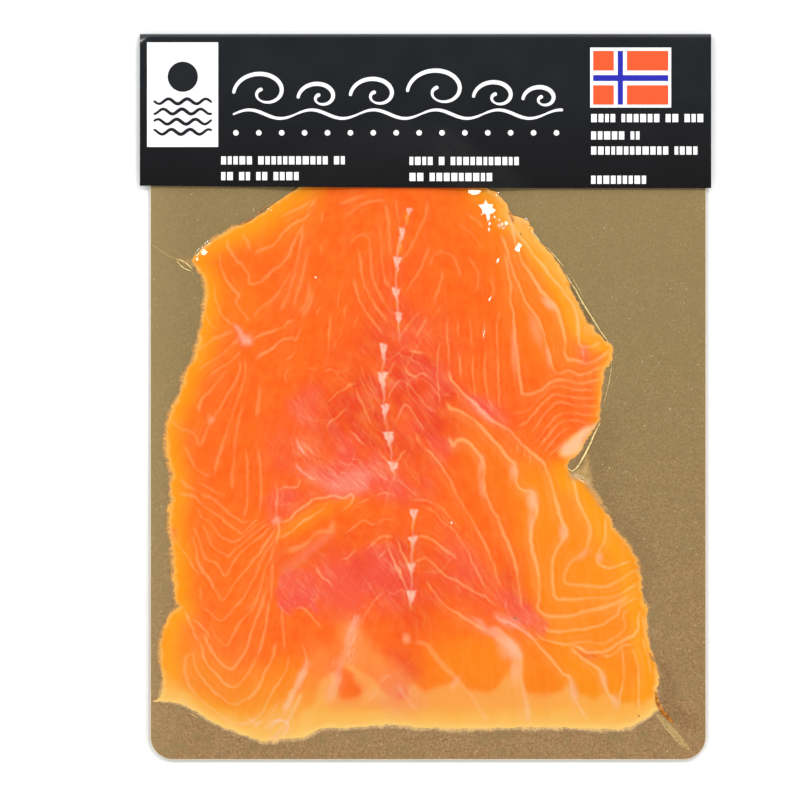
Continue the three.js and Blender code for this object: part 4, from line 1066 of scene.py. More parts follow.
# How far it reaches, as places and the reach there: up the left side, up the right side, across the bottom.
LEFT_REACH = (
    (-95, -60, 0, 36, 42, 47, 49, 51.5, 53.5, 64),
    (1.1, 1.3, 1.4, 1.4, 0.5, 0.6, 1.3, 1.2, 0.4, 0.35),
)
RIGHT_REACH = ((-95, -56, -50, -26, -20, 30, 62), (0.8, 0.7, 1.1, 1.0, 0.5, 0.6, 0.5))
BOTTOM_REACH = ((-60, -40), (0.8, 1.25))


def skirt_material():
    """Thin torn flesh that the card shows through."""
    material, node = new_material("salmon_skirt")
    cover, pale = stored(node, "cover"), stored(node, "pale")
    rim = mixed(node, pale, lit(222, 166, 86), lit(240, 208, 156))
    flesh = mixed(node, pale, lit(255, 178, 64), lit(255, 204, 120))
    colour = mixed(node, cover, rim, flesh)
    colour = mixed(node, lumps(node, 0.5, 2.0, 0.4, 0.9), colour, lit(250, 196, 116))
    surface(node, {"Base Color": colour, "Roughness": 0.6, "Alpha": cover})
    return material


def make_skirt():
    """A thin frayed skirt round the cut edge, which fades out over the card."""
    line = OUTLINE[: -len(TOP.x)]
    _, done = lengths_along(line)
    places = np.arange(0, done[-1], SKIRT_STEP)

    def at(shift):
        return np.column_stack([np.interp(places + shift, done, values) for values in line.T])

    along = at(1.2) - at(-1.2)
    along /= np.hypot(*along.T)[:, None]
    outward = np.column_stack([along[:, 1], -along[:, 0]])
    x, y = at(0).T
    side_reach = np.where(x > 10, np.interp(y, *RIGHT_REACH), np.interp(y, *LEFT_REACH))
    reach = np.where(y < BOTTOM.at(x) + 0.5, np.interp(x, *BOTTOM_REACH), side_reach)
    reach = reach * (1 + 0.4 * noise_along(places, 3.5, 6)) * (0.95 + 0.2 * noise_along(places, 0.5, 7))
    lean = along * (0.4 * noise_along(places, 5, 8))[:, None]
    fray = np.clip(0.85 + 0.3 * noise_along(places, 0.4, 9) + 0.2 * noise_along(places, 2.5, 10), 0, 1.3)
    points, cover = [], []
    for share, height, amount in SKIRT_SECTION:
        out = at(0) + (outward + lean) * (share * np.where(share > 0, reach, 1))[:, None]
        points.append(np.column_stack([out, np.full(len(out), CARD_TOP + height)]))
        cover.append(np.clip(amount * np.where(amount < 1, fray, 1), 0, 1))
    section, count = len(SKIRT_SECTION), len(places)
    starts = [j * count for j in range(section)]
    faces = [
        [a + i, b + i, b + i + 1, a + i + 1]
        for a, b in zip(starts, starts[1:] + starts[:1]) for i in range(count - 1)
    ]
    faces += [starts[::-1], [start + count - 1 for start in starts]]
    piece = mesh_piece("salmon_skirt", np.vstack(points), faces, "salmon_lower", skirt_material())
    set_attribute(piece, "cover", np.concatenate(cover))
    set_attribute(piece, "pale", np.tile(np.clip((-84 - y) / 8, 0.1, 1), section))


make_skirt()


# ---------------------------- card
def rounded_rectangle(left, right, lower, upper, radius, steps=24):
    """Outline with round corners, counterclockwise."""
    corners = [(right, upper), (left, upper), (left, lower), (right, lower)]
    inward = [(-1, -1), (1, -1), (1, 1), (-1, 1)]
    points = []
    for quarter, ((x, y), (dx, dy)) in enumerate(zip(corners, inward)):
        for step in range(steps + 1):
            a = (quarter + step / steps) * math.pi / 2
            points.append((x + dx * radius + radius * math.cos(a), y + dy * radius + radius * math.sin(a)))
    return np.array(points)


def gold_material():
    """Gold laminate with a fine pressed grain and a few bright specks, deeper in tone low on the pack."""
    material, node = new_material("gold_laminate")
    place = node("ShaderNodeSeparateXYZ", {0: object_place(node)}).outputs
    upward = ranged(node, place["Y"], -0.1, 0.035)
    leftward = ranged(node, place["X"], -0.072, -0.083, to_high=0.3)
    grain = lumps(node, 0.6, 3.0, 0.36, 0.64)
    low_part = mixed(node, grain, (0.355, 0.185, 0.07, 1), (0.505, 0.315, 0.152, 1))
    high_part = mixed(node, grain, (0.312, 0.217, 0.085, 1), (0.374, 0.271, 0.117, 1))
    colour = mixed(node, upward, low_part, high_part)
    colour = mixed(node, lumps(node, 3.5, 3.0, 0.45, 0.85), colour, (0.33, 0.232, 0.094, 1))
    colour = mixed(node, leftward, colour, (0.5, 0.36, 0.17, 1))
    colour = mixed(node, lumps(node, 0.6, 0.0, 0.84, 0.87), colour, (0.75, 0.6, 0.38, 1))
    normal = bumped(node, grain, ranged(node, upward, 0, 1, 0.36, 0.1), 0.1)
    surface(node, {"Base Color": colour, "Metallic": 0.55, "Roughness": 0.42, "Normal": normal})
    return material


def board_edge_material():
    """The cut edge of the board, pale cream."""
    material, node = new_material("board_edge")
    colour = mixed(node, lumps(node, 0.4, 3.0), lit(226, 214, 188), lit(240, 231, 208))
    surface(node, {"Base Color": colour, "Roughness": 0.8})
    return material


def make_card():
    """The stiff card, with its faces gold and its cut edge bare."""
    outline, inner = (
        rounded_rectangle(
            CARD_LEFT + inset, CARD_RIGHT - inset, CARD_LOWER + inset, CARD_UPPER - inset, CARD_CORNER - inset
        )
        for inset in (0, CARD_EDGE_ROUND)
    )
    rings = [
        (inner, CARD_BOTTOM), (outline, CARD_BOTTOM + CARD_EDGE_RISE), (outline, CARD_TOP - CARD_EDGE_RISE),
        (inner, CARD_TOP),
    ]
    count = len(outline)
    points = np.vstack([np.column_stack([ring, np.full(count, z)]) for ring, z in rings])
    numbers = [list(range(ring * count, (ring + 1) * count)) for ring in range(len(rings))]
    flat_faces = [numbers[-1], numbers[0][::-1]]
    walls = [face for lower, upper in zip(numbers, numbers[1:]) for face in ring_faces(lower, upper)]
    piece = mesh_piece(
        "gold_card_board", points, flat_faces + walls, "gold_board", gold_material(), board_edge_material()
    )
    for index in range(len(flat_faces)):
        piece.data.polygons[index].use_smooth = False
    middle_walls = range(len(flat_faces) + count, len(flat_faces) + 3 * count)
    for index in middle_walls:
        piece.data.polygons[index].material_index = 1
    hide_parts("gold_card")


make_card()


# ---------------------------- film
def lamp_place(azimuth, elevation):
    """Where a lamp stands, in metres."""
    a, e = math.radians(azimuth), math.radians(elevation)
    level = LAMP_DISTANCE * math.cos(e)
    return level * math.cos(a), level * math.sin(a), LAMP_DISTANCE * math.sin(e)


def film_height():
    """Height of the film: on the fish, down at its foot, and flat on the card."""
    body = np.where(FISH, FISH_TOP + FILM_CLEARANCE, 0)
    cover = blur(FISH.astype(float), 0.9)
    foot = CARD_TOP + 0.1 + 0.62 * smooth(cover, 0.02, 0.62)
    return np.maximum(body, foot) + 0.02 * noise(6, 61)


FILM_HEIGHT = film_height()

# Painted shade: where the film stands off the card it takes a darker tone, as (strength, edge, outline).
FILM_SHADES = [
    (0.2, 1.8, "54,-2 58,-6 57.5,-16 56,-24 60,-34 68,-48 66,-60 60,-42 52,-30 47,-22 50,-12"),
    (0.7, 0.35, "43.4,36.4 45.4,33.2 47.4,29.4 46.6,29.4 44.6,32.4 43,35.8"),
    (0.7, 0.35, "47.6,28.8 49.8,25 50.4,23 48.8,23 48.2,25.4 47.2,28"),
    (0.15, 0.5, "43.8,-20.4 46,-18.4 48,-15.6 49.4,-12.6 51.6,-9.4 50.6,-12.6 48.6,-16.6 46.6,-19.8"
        " 45,-21.6 43.8,-21"),
    (0.4, 1.2, "70,-80 72.5,-84 72.5,-90 74,-95 80,-101 84,-100 76,-92 75,-82"),
]
# Creases and rims of air under the film, drawn bright as a painted highlight, as (width, strength, path).
CREASE_HIGHLIGHTS = [
    (0.36, 0.85, "31.4,52.2 32.6,50.6 34,48.9 35.4,46.9"),
    (0.32, 0.8, "36.8,46.2 39.5,43.3 42.4,39.8"),
    (0.42, 0.95, "42.8,38 43.6,36.5 45.6,33.3 48,29 50.5,25 53,21 55.8,17"),
    (0.26, 0.5, "43.9,38 46,34.6 48.4,30.2"),
    (0.3, 0.55, "56.8,12 56.5,8 55.6,3 54.2,-2"),
    (0.55, 1.0, "53.2,-7.6 51.4,-11.2 49.6,-15.2 47.8,-18.6 46.3,-21 44.7,-22.2 43.5,-21.4"),
    (0.32, 1.0, "-76,42.4 -74.4,42 -72.8,41 -71.1,39.3"),
    (0.34, 1.0, "-75.8,41.8 -74.6,40.4 -73,39.3 -71.5,38.8"),
    (0.3, 0.3, "-76.5,42.3 -79,43.8 -81.5,45.6 -84,47"),
    (1.9, 0.3, "70.6,-96.6 73,-99.2 76,-102.4 80.5,-107.2"),
    (0.5, 0.4, "72.4,-99.6 75,-102.6 78.6,-106.8"),
    (0.3, 0.7, "68.2,-77 68.8,-78.2 69.3,-79.9"),
    (0.22, 0.6, "66.3,-60.4 67,-61.6 67.9,-63.2"),
    (0.2, 0.6, "-79.9,-73 -80.9,-75.4 -81,-78"),
    (0.3, 0.55, "-72,-96 -69.6,-97.4"),
    (0.28, 0.6, "-59,-102.7 -56.6,-103.6"),
    (0.4, 0.5, "-11.5,-99.6 -9.4,-99.4"),
    (0.24, 0.5, "0.5,-100.4 3,-100.7"),
    (0.24, 0.5, "18,-100.8 19.6,-100.9"),
    (0.3, 0.5, "73.4,-97 74,-97.6"),
]
# Film drawn into milky webs, as (strength, edge, outline).
WEBS = [
    (0.7, 0.5, "43.4,-21.8 44.8,-22.8 46.5,-21.4 47.8,-19.2 49.2,-16.4 49.9,-18.8 49.8,-21.6 50.5,-25"
        " 53,-29.4 56.6,-35.4 55,-34.2 51.6,-29 48.6,-26 46,-25 44.2,-23.6"),
    (0.4, 0.5, "70.6,-95.6 72.4,-96.8 76,-100.4 79,-104.6 81.4,-108 79.6,-107 75.8,-103.4 72.6,-99.8"
        " 70.4,-97.4"),
    (0.45, 0.3, "-71.4,40.2 -73,41.2 -74.8,41.6 -73.4,40 -71.6,39.2"),
    (0.3, 0.4, "-72,42.4 -74,42.8 -77,44 -74.6,41.2 -71,38.8 -70.6,40.6"),
]
# Juice drawn into the corners of the film.
JUICE = [
    (1.3, 1.0, "70.2,-89.6 70.7,-92.4 71.6,-94.6 73.2,-96.6 75.6,-99"),
    (0.5, 1.0, "68.4,-77.6 69,-79 69.4,-80.2"),
    (0.5, 1.0, "64.9,-96.6 65.3,-97.2"),
    (0.4, 1.0, "64.8,-45.4 65.1,-46"),
    (0.5, 1.0, "26.8,-66.6 27.4,-67 28.2,-67.2"),
    (0.4, 1.0, "28.9,50.4 29.2,49.6"),
    (0.5, 1.0, "-57.2,52.8 -55,53.7 -52.6,55.2"),
    (0.36, 1.0, "-51.6,56 -49.2,57.9 -46.6,59.7"),
    # The last line is no juice but painted shade: a dark line in the pocket of a notch that the outline can't
    # form.
    (0.7, 1.0, "25.5,57.4 26.2,55.6 26.9,53.4"),
]
# Facets of the film that stand tilted to the key light, as outlines.
GLINTS = [
    "13.3,64.2 13,62.8 14.6,61.8 16.2,62.4 17.2,63.4",
    "16,58.8 16.9,57.9 17.5,56.4 18.4,56.1 18.9,53.8 19.5,54.6 19.7,56.2 20.9,56.4 21.4,57.6 20.3,57.9"
    " 20.6,59.2 19.2,59.1 18.3,60.4 17.7,59.2",
    "19,53.4 19.6,52.7 19.9,53.6",
    "20.6,55.4 21.1,54.9 21.5,55.6",
    "16.9,56.2 17.3,55.7 17.4,56.4",
    "21.8,52.8 22.5,52.2 22.6,53",
    "22.9,53.2 23.3,52.4 23.8,53.4",
    "24.1,53.8 24.4,52.6 25.2,53.1 24.8,54",
    "23.4,51.9 23.8,51.4 24.1,52",
    "18.9,52 19.3,50.6 19.7,51.6",
    "22.2,54.4 22.6,53.9 22.8,54.6",
    "27.1,45.2 28.4,44.6 29.4,46.8 28.4,47.5",
    "21.5,41.8 21.7,40.9 22.9,42.9",
    "19.1,30.2 19.4,29.4 20.2,31.2",
    "17.5,19.2 17.7,18.2 18.2,22",
    "-68.5,44.2 -67.4,43.4 -66.4,44.6 -67.4,45.6",
    "-70.2,42.6 -69.5,42 -69.2,43",
    "-33.9,36.9 -33.4,36.4 -33.2,36.9",
    "-12.3,-1.6 -11.9,-2.1 -11.5,-1.7",
    "7.6,-37.6 8,-38.2 8.5,-37.7",
    "-47.4,57.4 -46.9,57 -46.8,57.6",
]


def film_material():
    """Clear glossy film: what lies under it shows, darkened where shade is painted into it, and its surface
    only reflects.
    """
    material, node = new_material("clear_film")
    normal = bumped(node, lumps(node, 5.0, 1.0), 0.1, 0.2)
    # Painted shade: where the stored shade is high, the film lets through less light, tinted brown.
    painted_shade_tint = mixed(node, stored(node, "shade"), (0.985, 0.985, 0.98, 1), (0.74, 0.7, 0.64, 1))
    through = node("ShaderNodeBsdfTransparent", {"Color": painted_shade_tint})
    gloss = node("ShaderNodeBsdfGlossy", {"Color": (1, 1, 1, 1), "Roughness": 0.07, "Normal": normal})
    facing = node("ShaderNodeLayerWeight", {"Blend": 0.5, "Normal": normal}).outputs["Facing"]
    edge_on = node("ShaderNodeMath", {0: facing, 1: 5.0}, operation="POWER").outputs[0]
    share = ranged(node, edge_on, 0, 1, 0.011, 0.7)
    mix = node("ShaderNodeMixShader", {0: share, 1: through.outputs[0], 2: gloss.outputs[0]})
    node("ShaderNodeOutputMaterial", {"Surface": mix.outputs[0]})
    return material


def make_film():
    """The film over card and fish, out to its trimmed edge, which widens down the left side."""
    rows, columns = 335, 262
    y = np.linspace(CARD_UPPER, FILM_LOWER, rows)[:, None]
    below = np.clip((CARD_LOWER + CARD_CORNER - y) / (CARD_CORNER + CARD_LOWER - FILM_LOWER), 0, 1)
    above = np.clip((y - CARD_UPPER + CARD_CORNER) / CARD_CORNER, 0, 1)
    inward = CARD_CORNER * (1 - np.sqrt(1 - np.maximum(below, above) ** 2 * 0.9999))
    taper = np.clip((40 - y) / 110, 0, 1)
    left = CARD_LEFT - FILM_BEYOND_LEFT * taper + inward
    right = CARD_RIGHT + FILM_BEYOND_RIGHT - inward
    x = left + (right - left) * np.linspace(0, 1, columns)[None, :]
    y = np.broadcast_to(y, x.shape)
    beyond = np.maximum(np.maximum(CARD_LEFT - x, x - CARD_RIGHT), CARD_LOWER - y)
    z = sample(FILM_HEIGHT, x, y) - FILM_DROOP * smooth(beyond, 0, 0.8)
    points = np.column_stack([x.ravel(), y.ravel(), z.ravel()])
    piece = mesh_piece("clear_film_sheet", points, grid_faces(rows, columns), "clear_film", FILM_MATERIAL)
    # Painted shade from the patches, and past the card's edge the film is tinted a little grey.
    shade = sample(patches(FILM_SHADES, 941), x, y) + 0.22 * smooth(beyond, 0, 0.3)
    set_attribute(piece, "shade", shade.ravel())
    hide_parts("film_skin")


def crease_highlight_material():
    """Film drawn pale along a crease, its cream to white colour a painted highlight."""
    material, node = new_material("film_crease")
    uneven = lumps(node, 0.9, 2.0, 0.15, 0.5)
    alpha = node("ShaderNodeMath", {0: stored(node, "strength"), 1: uneven}, operation="MULTIPLY").outputs[0]
    colour = mixed(node, uneven, lit(206, 168, 96), lit(255, 226, 150))
    surface(node, {"Base Color": colour, "Roughness": 0.3, "Alpha": alpha})
    return material


def web_material():
    """Film drawn milky over the card."""
    material, node = new_material("film_web")
    colour = mixed(node, lumps(node, 1.2, 2.0), lit(202, 160, 94), lit(228, 188, 122))
    surface(node, {"Base Color": colour, "Roughness": 0.4, "Alpha": stored(node, "cover")})
    return material


def make_webs():
    """Thin patches on the film where it is drawn milky, cut from every second point of the raster."""
    cover = patches(WEBS, 951)[::2, ::2]
    used = cover > 0.02
    row, column = np.nonzero(used[1:, 1:] | used[1:, :-1] | used[:-1, 1:] | used[:-1, :-1])
    width = cover.shape[1]
    corner = row * width + column
    quads = np.column_stack([corner, corner + 1, corner + width + 1, corner + width])
    kept, faces = np.unique(quads, return_inverse=True)
    x, y = X[::2, ::2].ravel()[kept], Y[::2, ::2].ravel()[kept]
    points = np.column_stack([x, y, sample(FILM_HEIGHT, x, y) + WEB_RISE])
    faces = faces.reshape(quads.shape).tolist()
    piece = mesh_piece("clear_film_webs", points, faces, "clear_film", web_material())
    set_attribute(piece, "cover", cover.ravel()[kept])


def juice_material():
    """Amber juice under the film."""
    material, node = new_material("salmon_juice")
    colour = mixed(node, lumps(node, 0.8, 2.0), lit(150, 78, 20), lit(226, 142, 44))
    surface(node, {"Base Color": colour, "Roughness": 0.2, "Alpha": 0.8})
    return material


def ridges(name, lines, slot, material):
    """Low ridges on the film along lines, tapering to their ends."""
    points, faces, strengths = [], [], []
    for width, strength, line in lines:
        spine = curve(path(line), 0.4)
        taper = np.sin(np.linspace(0.12, math.pi - 0.12, len(spine))) ** 0.5
        reach = left_of(spine) * (taper * width / 2)[:, None]
        low = sample(FILM_HEIGHT, *spine.T) + CREASE_RISE
        faces += grid_faces(len(spine), 3, len(points))
        for a, middle, b, z, share in zip(spine + reach, spine, spine - reach, low, taper):
            points += [(*a, z), (*middle, z + CREASE_RISE * share), (*b, z)]
            strengths += [strength] * 3
    piece = mesh_piece(name, points, faces, slot, material)
    set_attribute(piece, "strength", strengths)


def make_glints():
    """Flat facets that walls join to the film, each turned so that the key light shows in it from above."""
    points, faces = [], []
    for line in GLINTS:
        outline = path(line)
        middle = np.array([*outline.mean(0) * MM, 0])
        to_light, to_eye = np.array(lamp_place(*KEY_ANGLES)) - middle, np.array(CAMERA_PLACE) - middle
        normal = to_light / np.linalg.norm(to_light) + to_eye / np.linalg.norm(to_eye)
        foot = sample(FILM_HEIGHT, *outline.T)
        plane = outline @ (-normal[:2] / normal[2])
        plane += (foot - plane).max() + FACET_RISE
        count = len(outline)
        top = list(range(len(points), len(points) + count))
        faces.append(top)
        faces += ring_faces([number + count for number in top], top)
        points += [(*place, z) for place, z in zip(outline, plane)]
        points += [(*place, z - FACET_RISE) for place, z in zip(outline, foot)]
    mesh_piece("clear_film_facets", points, faces, "clear_film", FILM_MATERIAL)


FILM_MATERIAL = film_material()
make_film()
# Creases of the film with a painted highlight along each.
ridges("clear_film_crease_highlights", CREASE_HIGHLIGHTS, "clear_film", crease_highlight_material())
ridges("salmon_juice", JUICE, "salmon_lower", juice_material())
make_webs()
make_glints()


# ---------------------------- header
def header_material():
    """Black varnished card, painted lighter toward its top as a painted reflection."""
    material, node = new_material("header_varnish")
    height = node("ShaderNodeSeparateXYZ", {0: object_place(node)}).outputs["Y"]
    high_part = mixed(node, lumps(node, 12, 3.0), (0.0095, 0.0112, 0.0132, 1), (0.0125, 0.0142, 0.0168, 1))
    # Painted reflection: darker low on the front panel, lighter from 62 mm toward 100 mm up the pack.
    colour = mixed(node, ranged(node, height, 0.062, 0.1), (0.0062, 0.0052, 0.0058, 1), high_part)
    normal = bumped(node, lumps(node, 9, 2.0), 0.15, 0.3)
    surface(node, {"Base Color": colour, "Roughness": 0.22, "Normal": normal, "Specular IOR Level": 0.4})
    return material


def header_front():
    """Raster of the middle of the front panel, which spans what lifts it and falls away slowly round that."""
    left, lower, spacing = -88, 60, 2.0
    xs, ys = np.arange(left, 90, spacing), np.arange(lower, 113, spacing)
    grid_x, grid_y = np.meshgrid(xs, ys)
    lift_x, lift_y = np.meshgrid(np.arange(-50, 40, spacing), np.arange(52, 82, spacing))
    on_fish = sample(FISH.astype(float), lift_x, lift_y) > 0.5
    lift_x, lift_y = lift_x[on_fish], lift_y[on_fish]
    lift_z = sample(FISH_TOP, lift_x, lift_y)
    away = np.hypot(grid_x[..., None] - lift_x, grid_y[..., None] - lift_y) - HEADER_REACH
    height = (lift_z + HEADER_OVER_FISH - HEADER_SLOPE * np.maximum(0, away)).max(-1)
    height = np.maximum(HEADER_FLAT, height)
    raster = np.full(X.shape, HEADER_FLAT)
    rows = np.where(YS >= lower)[0]
    u, v = (XS - left) / spacing, ((YS[rows] - lower) / spacing)[:, None]
    i, j = np.clip(u.astype(int), 0, len(xs) - 2), np.clip(v.astype(int), 0, len(ys) - 2)
    raster[rows] = between(height, i, j, u - i, v - j)
    return blur(raster, 1.5)


HEADER_FRONT = header_front()


def corner_drop(x, y):
    """How far the upper left corner is bent down."""
    return BEND_SLOPE * np.maximum(0, BEND_X - x + np.asarray(y) - BEND_Y)


def header_section(x, offset):
    """Points from the back panel's edge, round the fold and down to the front panel's edge."""
    across = (x - HEADER_LEFT) / (HEADER_RIGHT - HEADER_LEFT)
    dip = HEADER_DIP * math.sin(min(across / 0.7, 1) * math.pi / 2)
    points = [(x, y, HEADER_BACK - offset) for y in np.linspace(EDGE_Y, FOLD_Y, 6)]
    for angle in np.linspace(-math.pi / 2, math.pi / 2, 13)[1:-1]:
        y = FOLD_Y + (FOLD_RADIUS + offset) * math.cos(angle)
        z = HEADER_BACK + FOLD_RADIUS + (FOLD_RADIUS + offset) * math.sin(angle)
        points.append((x, y, z - corner_drop(x, y) * (1 + math.sin(angle)) / 2))
    ys = np.linspace(FOLD_Y, EDGE_Y - dip, 60)
    zs = sample(HEADER_FRONT, x, ys) + offset - corner_drop(x, ys)
    return points + [(x, y, z) for y, z in zip(ys, zs)]


def make_header():
    """The folded header card."""
    xs = np.linspace(HEADER_LEFT, HEADER_RIGHT, 176)
    outside, inside = (
        [point for x in xs for point in header_section(x, offset)]
        for offset in (HEADER_THICKNESS / 2, -HEADER_THICKNESS / 2)
    )
    count = len(outside)
    rows, columns = len(xs), count // len(xs)
    rim = grid_rim(rows, columns)
    faces = [face[::-1] for face in grid_faces(rows, columns)] + grid_faces(rows, columns, count)
    faces += ring_faces(rim, [number + count for number in rim])
    piece = mesh_piece("header_card_board", outside + inside, faces, "header_board", header_material())
    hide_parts("header_card")


make_header()


# ---------------------------- print on the header
SUN_PANEL = (-84.9, -63.2, 76.6, 108.5)
SUN = (-74.0, 98.0, 4.6)
# Curling waves as (start, size), over one long wave between two places, with a row of dots below.
CURLS = ((-58.0, 8.6), (-38.5, 6.2), (-22.5, 7.4), (-5.0, 9.4), (15.0, 6.6), (30.0, 5.4))
WAVE_LEFT, WAVE_RIGHT, WAVE_LENGTH = -58.5, 41.5, 19.0
DOTS, DOT_LEFT, DOT_SPACING = 15, -57.8, 6.98
# Rows of marks as (left, right, y), each the height of a line of small print.
MARK_ROWS = (
    (-62.3, -24.6, 72.5), (-62.3, -38.4, 67.7), (-4.9, 29.5, 72.3), (-4.9, 21.2, 67.4),
    (50.5, 84.8, 85.4), (50.5, 66.3, 80.1), (50.5, 82.9, 75.5), (50.5, 67.7, 66.6),
)
MARK_HEIGHT = 2.5
FLAG_FRAME = (50.2, 74.9, 88.6, 106.9)
# The flag's fields as (left, right) and (lower, upper), and the blue bars of its cross as blocks.
FLAG_COLUMNS, FLAG_ROWS = ((51.1, 57.4), (61.4, 74.0)), ((89.5, 95.4), (99.9, 105.9))
FLAG_BARS = ((58.6, 60.2, 89.5, 105.9), (51.1, 58.6, 96.7, 98.5), (60.2, 74.0, 96.7, 98.5))


class Ink:
    """Flat printed shapes of one colour, joined into one piece, `layer` steps of ink above the card."""

    def __init__(self, layer):
        self.layer, self.points, self.faces = layer, [], []

    def add(self, x, y, faces):
        """More points on the header's front, with faces that count from the first of them."""
        start = sum(len(part) for part in self.points)
        z = sample(HEADER_FRONT, x, y) + HEADER_THICKNESS / 2 + INK_STEP * self.layer
        self.points.append(np.column_stack([np.ravel(x), np.ravel(y), np.ravel(z)]))
        self.faces += [[start + index for index in face] for face in faces]

    def block(self, left, right, lower, upper):
        """A filled rectangle."""
        rows, columns = (int(size / INK_CELL) + 2 for size in (upper - lower, right - left))
        x, y = np.meshgrid(np.linspace(left, right, columns), np.linspace(upper, lower, rows))
        self.add(x, y, grid_faces(rows, columns))

    def disc(self, x, y, radius):
        """A filled disc."""
        sides, rings = 48, 4
        angles = np.linspace(0, 2 * math.pi, sides + 1)[:-1]
        reach = np.linspace(radius, radius / rings, rings)[:, None]
        numbers = [list(range(ring * sides, (ring + 1) * sides)) for ring in range(rings)]
        faces = [numbers[-1]]
        for outer, inner in zip(numbers, numbers[1:]):
            faces += ring_faces(outer, inner)
        self.add(x + reach * np.cos(angles), y + reach * np.sin(angles), faces)

    def stroke(self, points, widths):
        """A brush line along points, with a width at each and round ends."""
        points, half = np.asarray(points, float), np.asarray(widths, float) / 2
        turns = np.linspace(0, math.pi / 2, 7)[1:]
        for _ in range(2):
            out = points[-1] - points[-2]
            cap = points[-1] + half[-1] * np.sin(turns)[:, None] * out / np.hypot(*out)
            points = np.vstack([points, cap])[::-1]
            half = np.concatenate([half, half[-1] * np.maximum(np.cos(turns), 0.02)])[::-1]
        reach = left_of(points) * half[:, None]
        left, right = points + reach, points - reach
        x, y = np.column_stack([left[:, 0], right[:, 0]]), np.column_stack([left[:, 1], right[:, 1]])
        self.add(x, y, grid_faces(len(points), 2))

    def piece(self, name, colour):
        """The shapes as one piece."""
        material, node = new_material(name)
        darker = tuple(0.94 * value for value in colour[:3]) + (1,)
        shade = mixed(node, lumps(node, 1.5, 3.0, 0.2, 0.8), darker, colour)
        surface(node, {"Base Color": shade, "Roughness": 0.3, "Specular IOR Level": 0.3})
        mesh_piece(name, np.vstack(self.points), self.faces, "header_board", material)


def print_sun(white, black):
    """A framed sun over four waves."""
    white.block(*SUN_PANEL)
    black.disc(*SUN)
    for row in range(4):
        x = np.linspace(-82.6, -65.4, 60)
        y = 90.5 - 3.1 * row + 0.75 * np.sin((x + 1.6 * row) * 2 * math.pi / 5.7)
        black.stroke(np.column_stack([x, y]), 0.7 + 0.35 * np.sin(np.linspace(0, math.pi, 60)))


def print_waves(white):
    """A flourish of curling waves over a row of dots."""
    turns = np.linspace(0, 1, 110)
    for start, size in CURLS:
        angle = 2.2 * math.pi * turns
        radius = size * (1 - 0.8 * turns)
        x = start + size * 0.95 - radius * np.cos(angle) + 1.0 * turns
        y = 88.0 + size * 0.62 + radius * 0.78 * np.sin(angle)
        white.stroke(np.column_stack([x, y]), 0.55 + 0.75 * np.abs(np.sin(angle * 0.5 + 0.6)))
    x = np.linspace(WAVE_LEFT, WAVE_RIGHT, 260)
    phase = (x - WAVE_LEFT) * math.pi / WAVE_LENGTH
    y = 86.6 + 1.3 * np.sin(2 * phase)
    white.stroke(np.column_stack([x, y]), 0.55 + 0.45 * np.abs(np.sin(phase)))
    for k in range(DOTS):
        white.disc(DOT_LEFT + k * DOT_SPACING, 80.9, 0.85)


def print_marks(white):
    """Rows of plain marks where the pack has small print."""
    for seed, (left, right, y) in enumerate(MARK_ROWS, 1):
        random = np.random.default_rng(seed)
        x = left
        while x < right - 1.2:
            width = random.uniform(1.1, 1.9)
            white.block(x, min(x + width, right), y - MARK_HEIGHT / 2, y + MARK_HEIGHT / 2)
            x += width + (0.5 if random.uniform() > 0.16 else 1.9)


def print_flag(white, red, blue):
    """A framed flag: a blue cross edged with white on red."""
    white.block(*FLAG_FRAME)
    for column in FLAG_COLUMNS:
        for row in FLAG_ROWS:
            red.block(*column, *row)
    for bar in FLAG_BARS:
        blue.block(*bar)


def make_print():
    """A generic print with no lettering."""
    white, black, red, blue = Ink(1), Ink(2), Ink(2), Ink(2)
    print_sun(white, black)
    print_waves(white)
    print_marks(white)
    print_flag(white, red, blue)
    white.piece("print_white", linear(238, 238, 240))
    black.piece("print_black", (0.012, 0.013, 0.016, 1))
    red.piece("print_red", lit(255, 98, 52))
    blue.piece("print_blue", lit(46, 48, 186))


make_print()


# ---------------------------- stage, light and camera
FLOOR_HALF = 6.0
# The world is dim straight above, where the film would mirror it, and bright all round.
SKY_START, SKY_END = 0.68, 0.9
SKY_ROUND, SKY_ABOVE = 2.1, 0.12


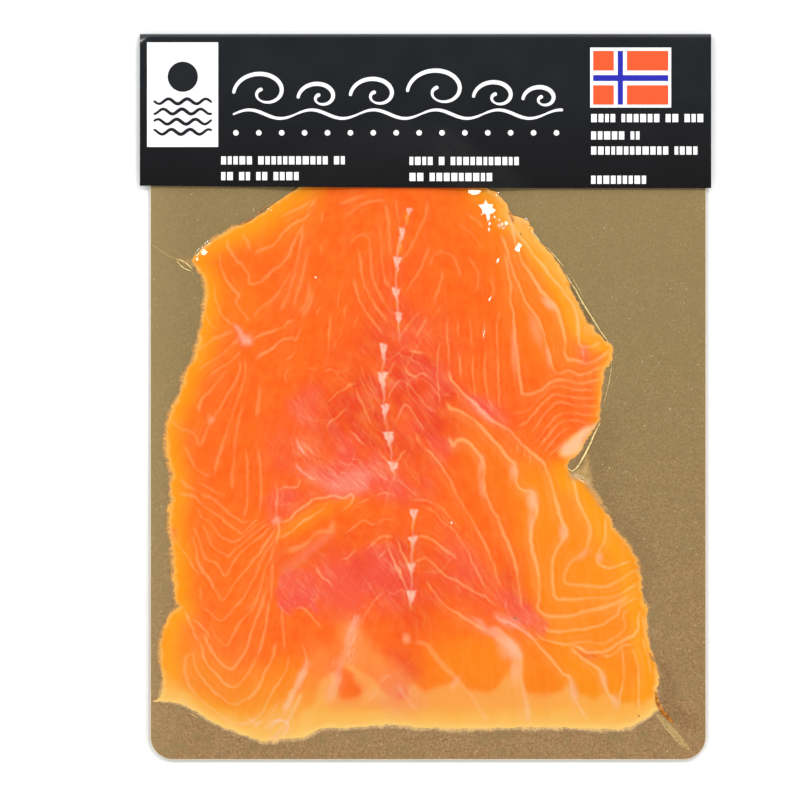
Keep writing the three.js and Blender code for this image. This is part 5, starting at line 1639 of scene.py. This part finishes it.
def make_floor():
    """A plain pale floor."""
    mesh = bpy.data.meshes.new("floor")
    corners = [(x * FLOOR_HALF, y * FLOOR_HALF, 0) for x, y in ((-1, -1), (1, -1), (1, 1), (-1, 1))]
    mesh.from_pydata(corners, [], [(0, 1, 2, 3)])
    floor = new_object("floor", mesh)
    material, node = new_material("floor_paper")
    shade = mixed(node, lumps(node, 40, 2.0), (0.88, 0.88, 0.88, 1), (0.9, 0.9, 0.9, 1))
    surface(node, {"Base Color": shade, "Roughness": 0.9, "Specular IOR Level": 0.1})
    mesh.materials.append(material)


def soft_box(name, angles, energy):
    """A square studio light that looks at the pack."""
    light = bpy.data.lights.new(name, "AREA")
    light.shape, light.size, light.energy = "SQUARE", LAMP_SIZE, energy
    lamp = new_object(name, light)
    azimuth, elevation = map(math.radians, angles)
    lamp.location = lamp_place(*angles)
    lamp.rotation_euler = (math.pi / 2 - elevation, 0, azimuth + math.pi / 2)


def make_light():
    """Even light from all round with two soft boxes, and little from straight above."""
    world = bpy.data.worlds.new("studio")
    bpy.context.scene.world = world
    world.use_nodes = True
    node = node_adder(world.node_tree)
    where = node("ShaderNodeTexCoord").outputs["Generated"]
    up = node("ShaderNodeSeparateXYZ", {0: where}).outputs["Z"]
    strength = ranged(node, up, SKY_START, SKY_END, SKY_ROUND, SKY_ABOVE)
    background = node("ShaderNodeBackground", {"Strength": strength})
    node("ShaderNodeOutputWorld", {"Surface": background.outputs[0]})
    soft_box("key", KEY_ANGLES, KEY_POWER)
    soft_box("fill", FILL_ANGLES, FILL_POWER)


def make_camera():
    """A long lens looking straight down at the pack."""
    camera = bpy.data.cameras.new("camera")
    camera.sensor_width = 36
    camera.lens = camera.sensor_width * (CAMERA_PLACE[2] - CARD_TOP * MM) / (PICTURE_PIXELS * PIXEL * MM)
    camera.clip_end = 20
    holder = new_object("camera", camera)
    holder.location = CAMERA_PLACE
    bpy.context.scene.camera = holder


make_floor()
make_light()
make_camera()
bpy.context.scene.view_settings.view_transform = "Standard"
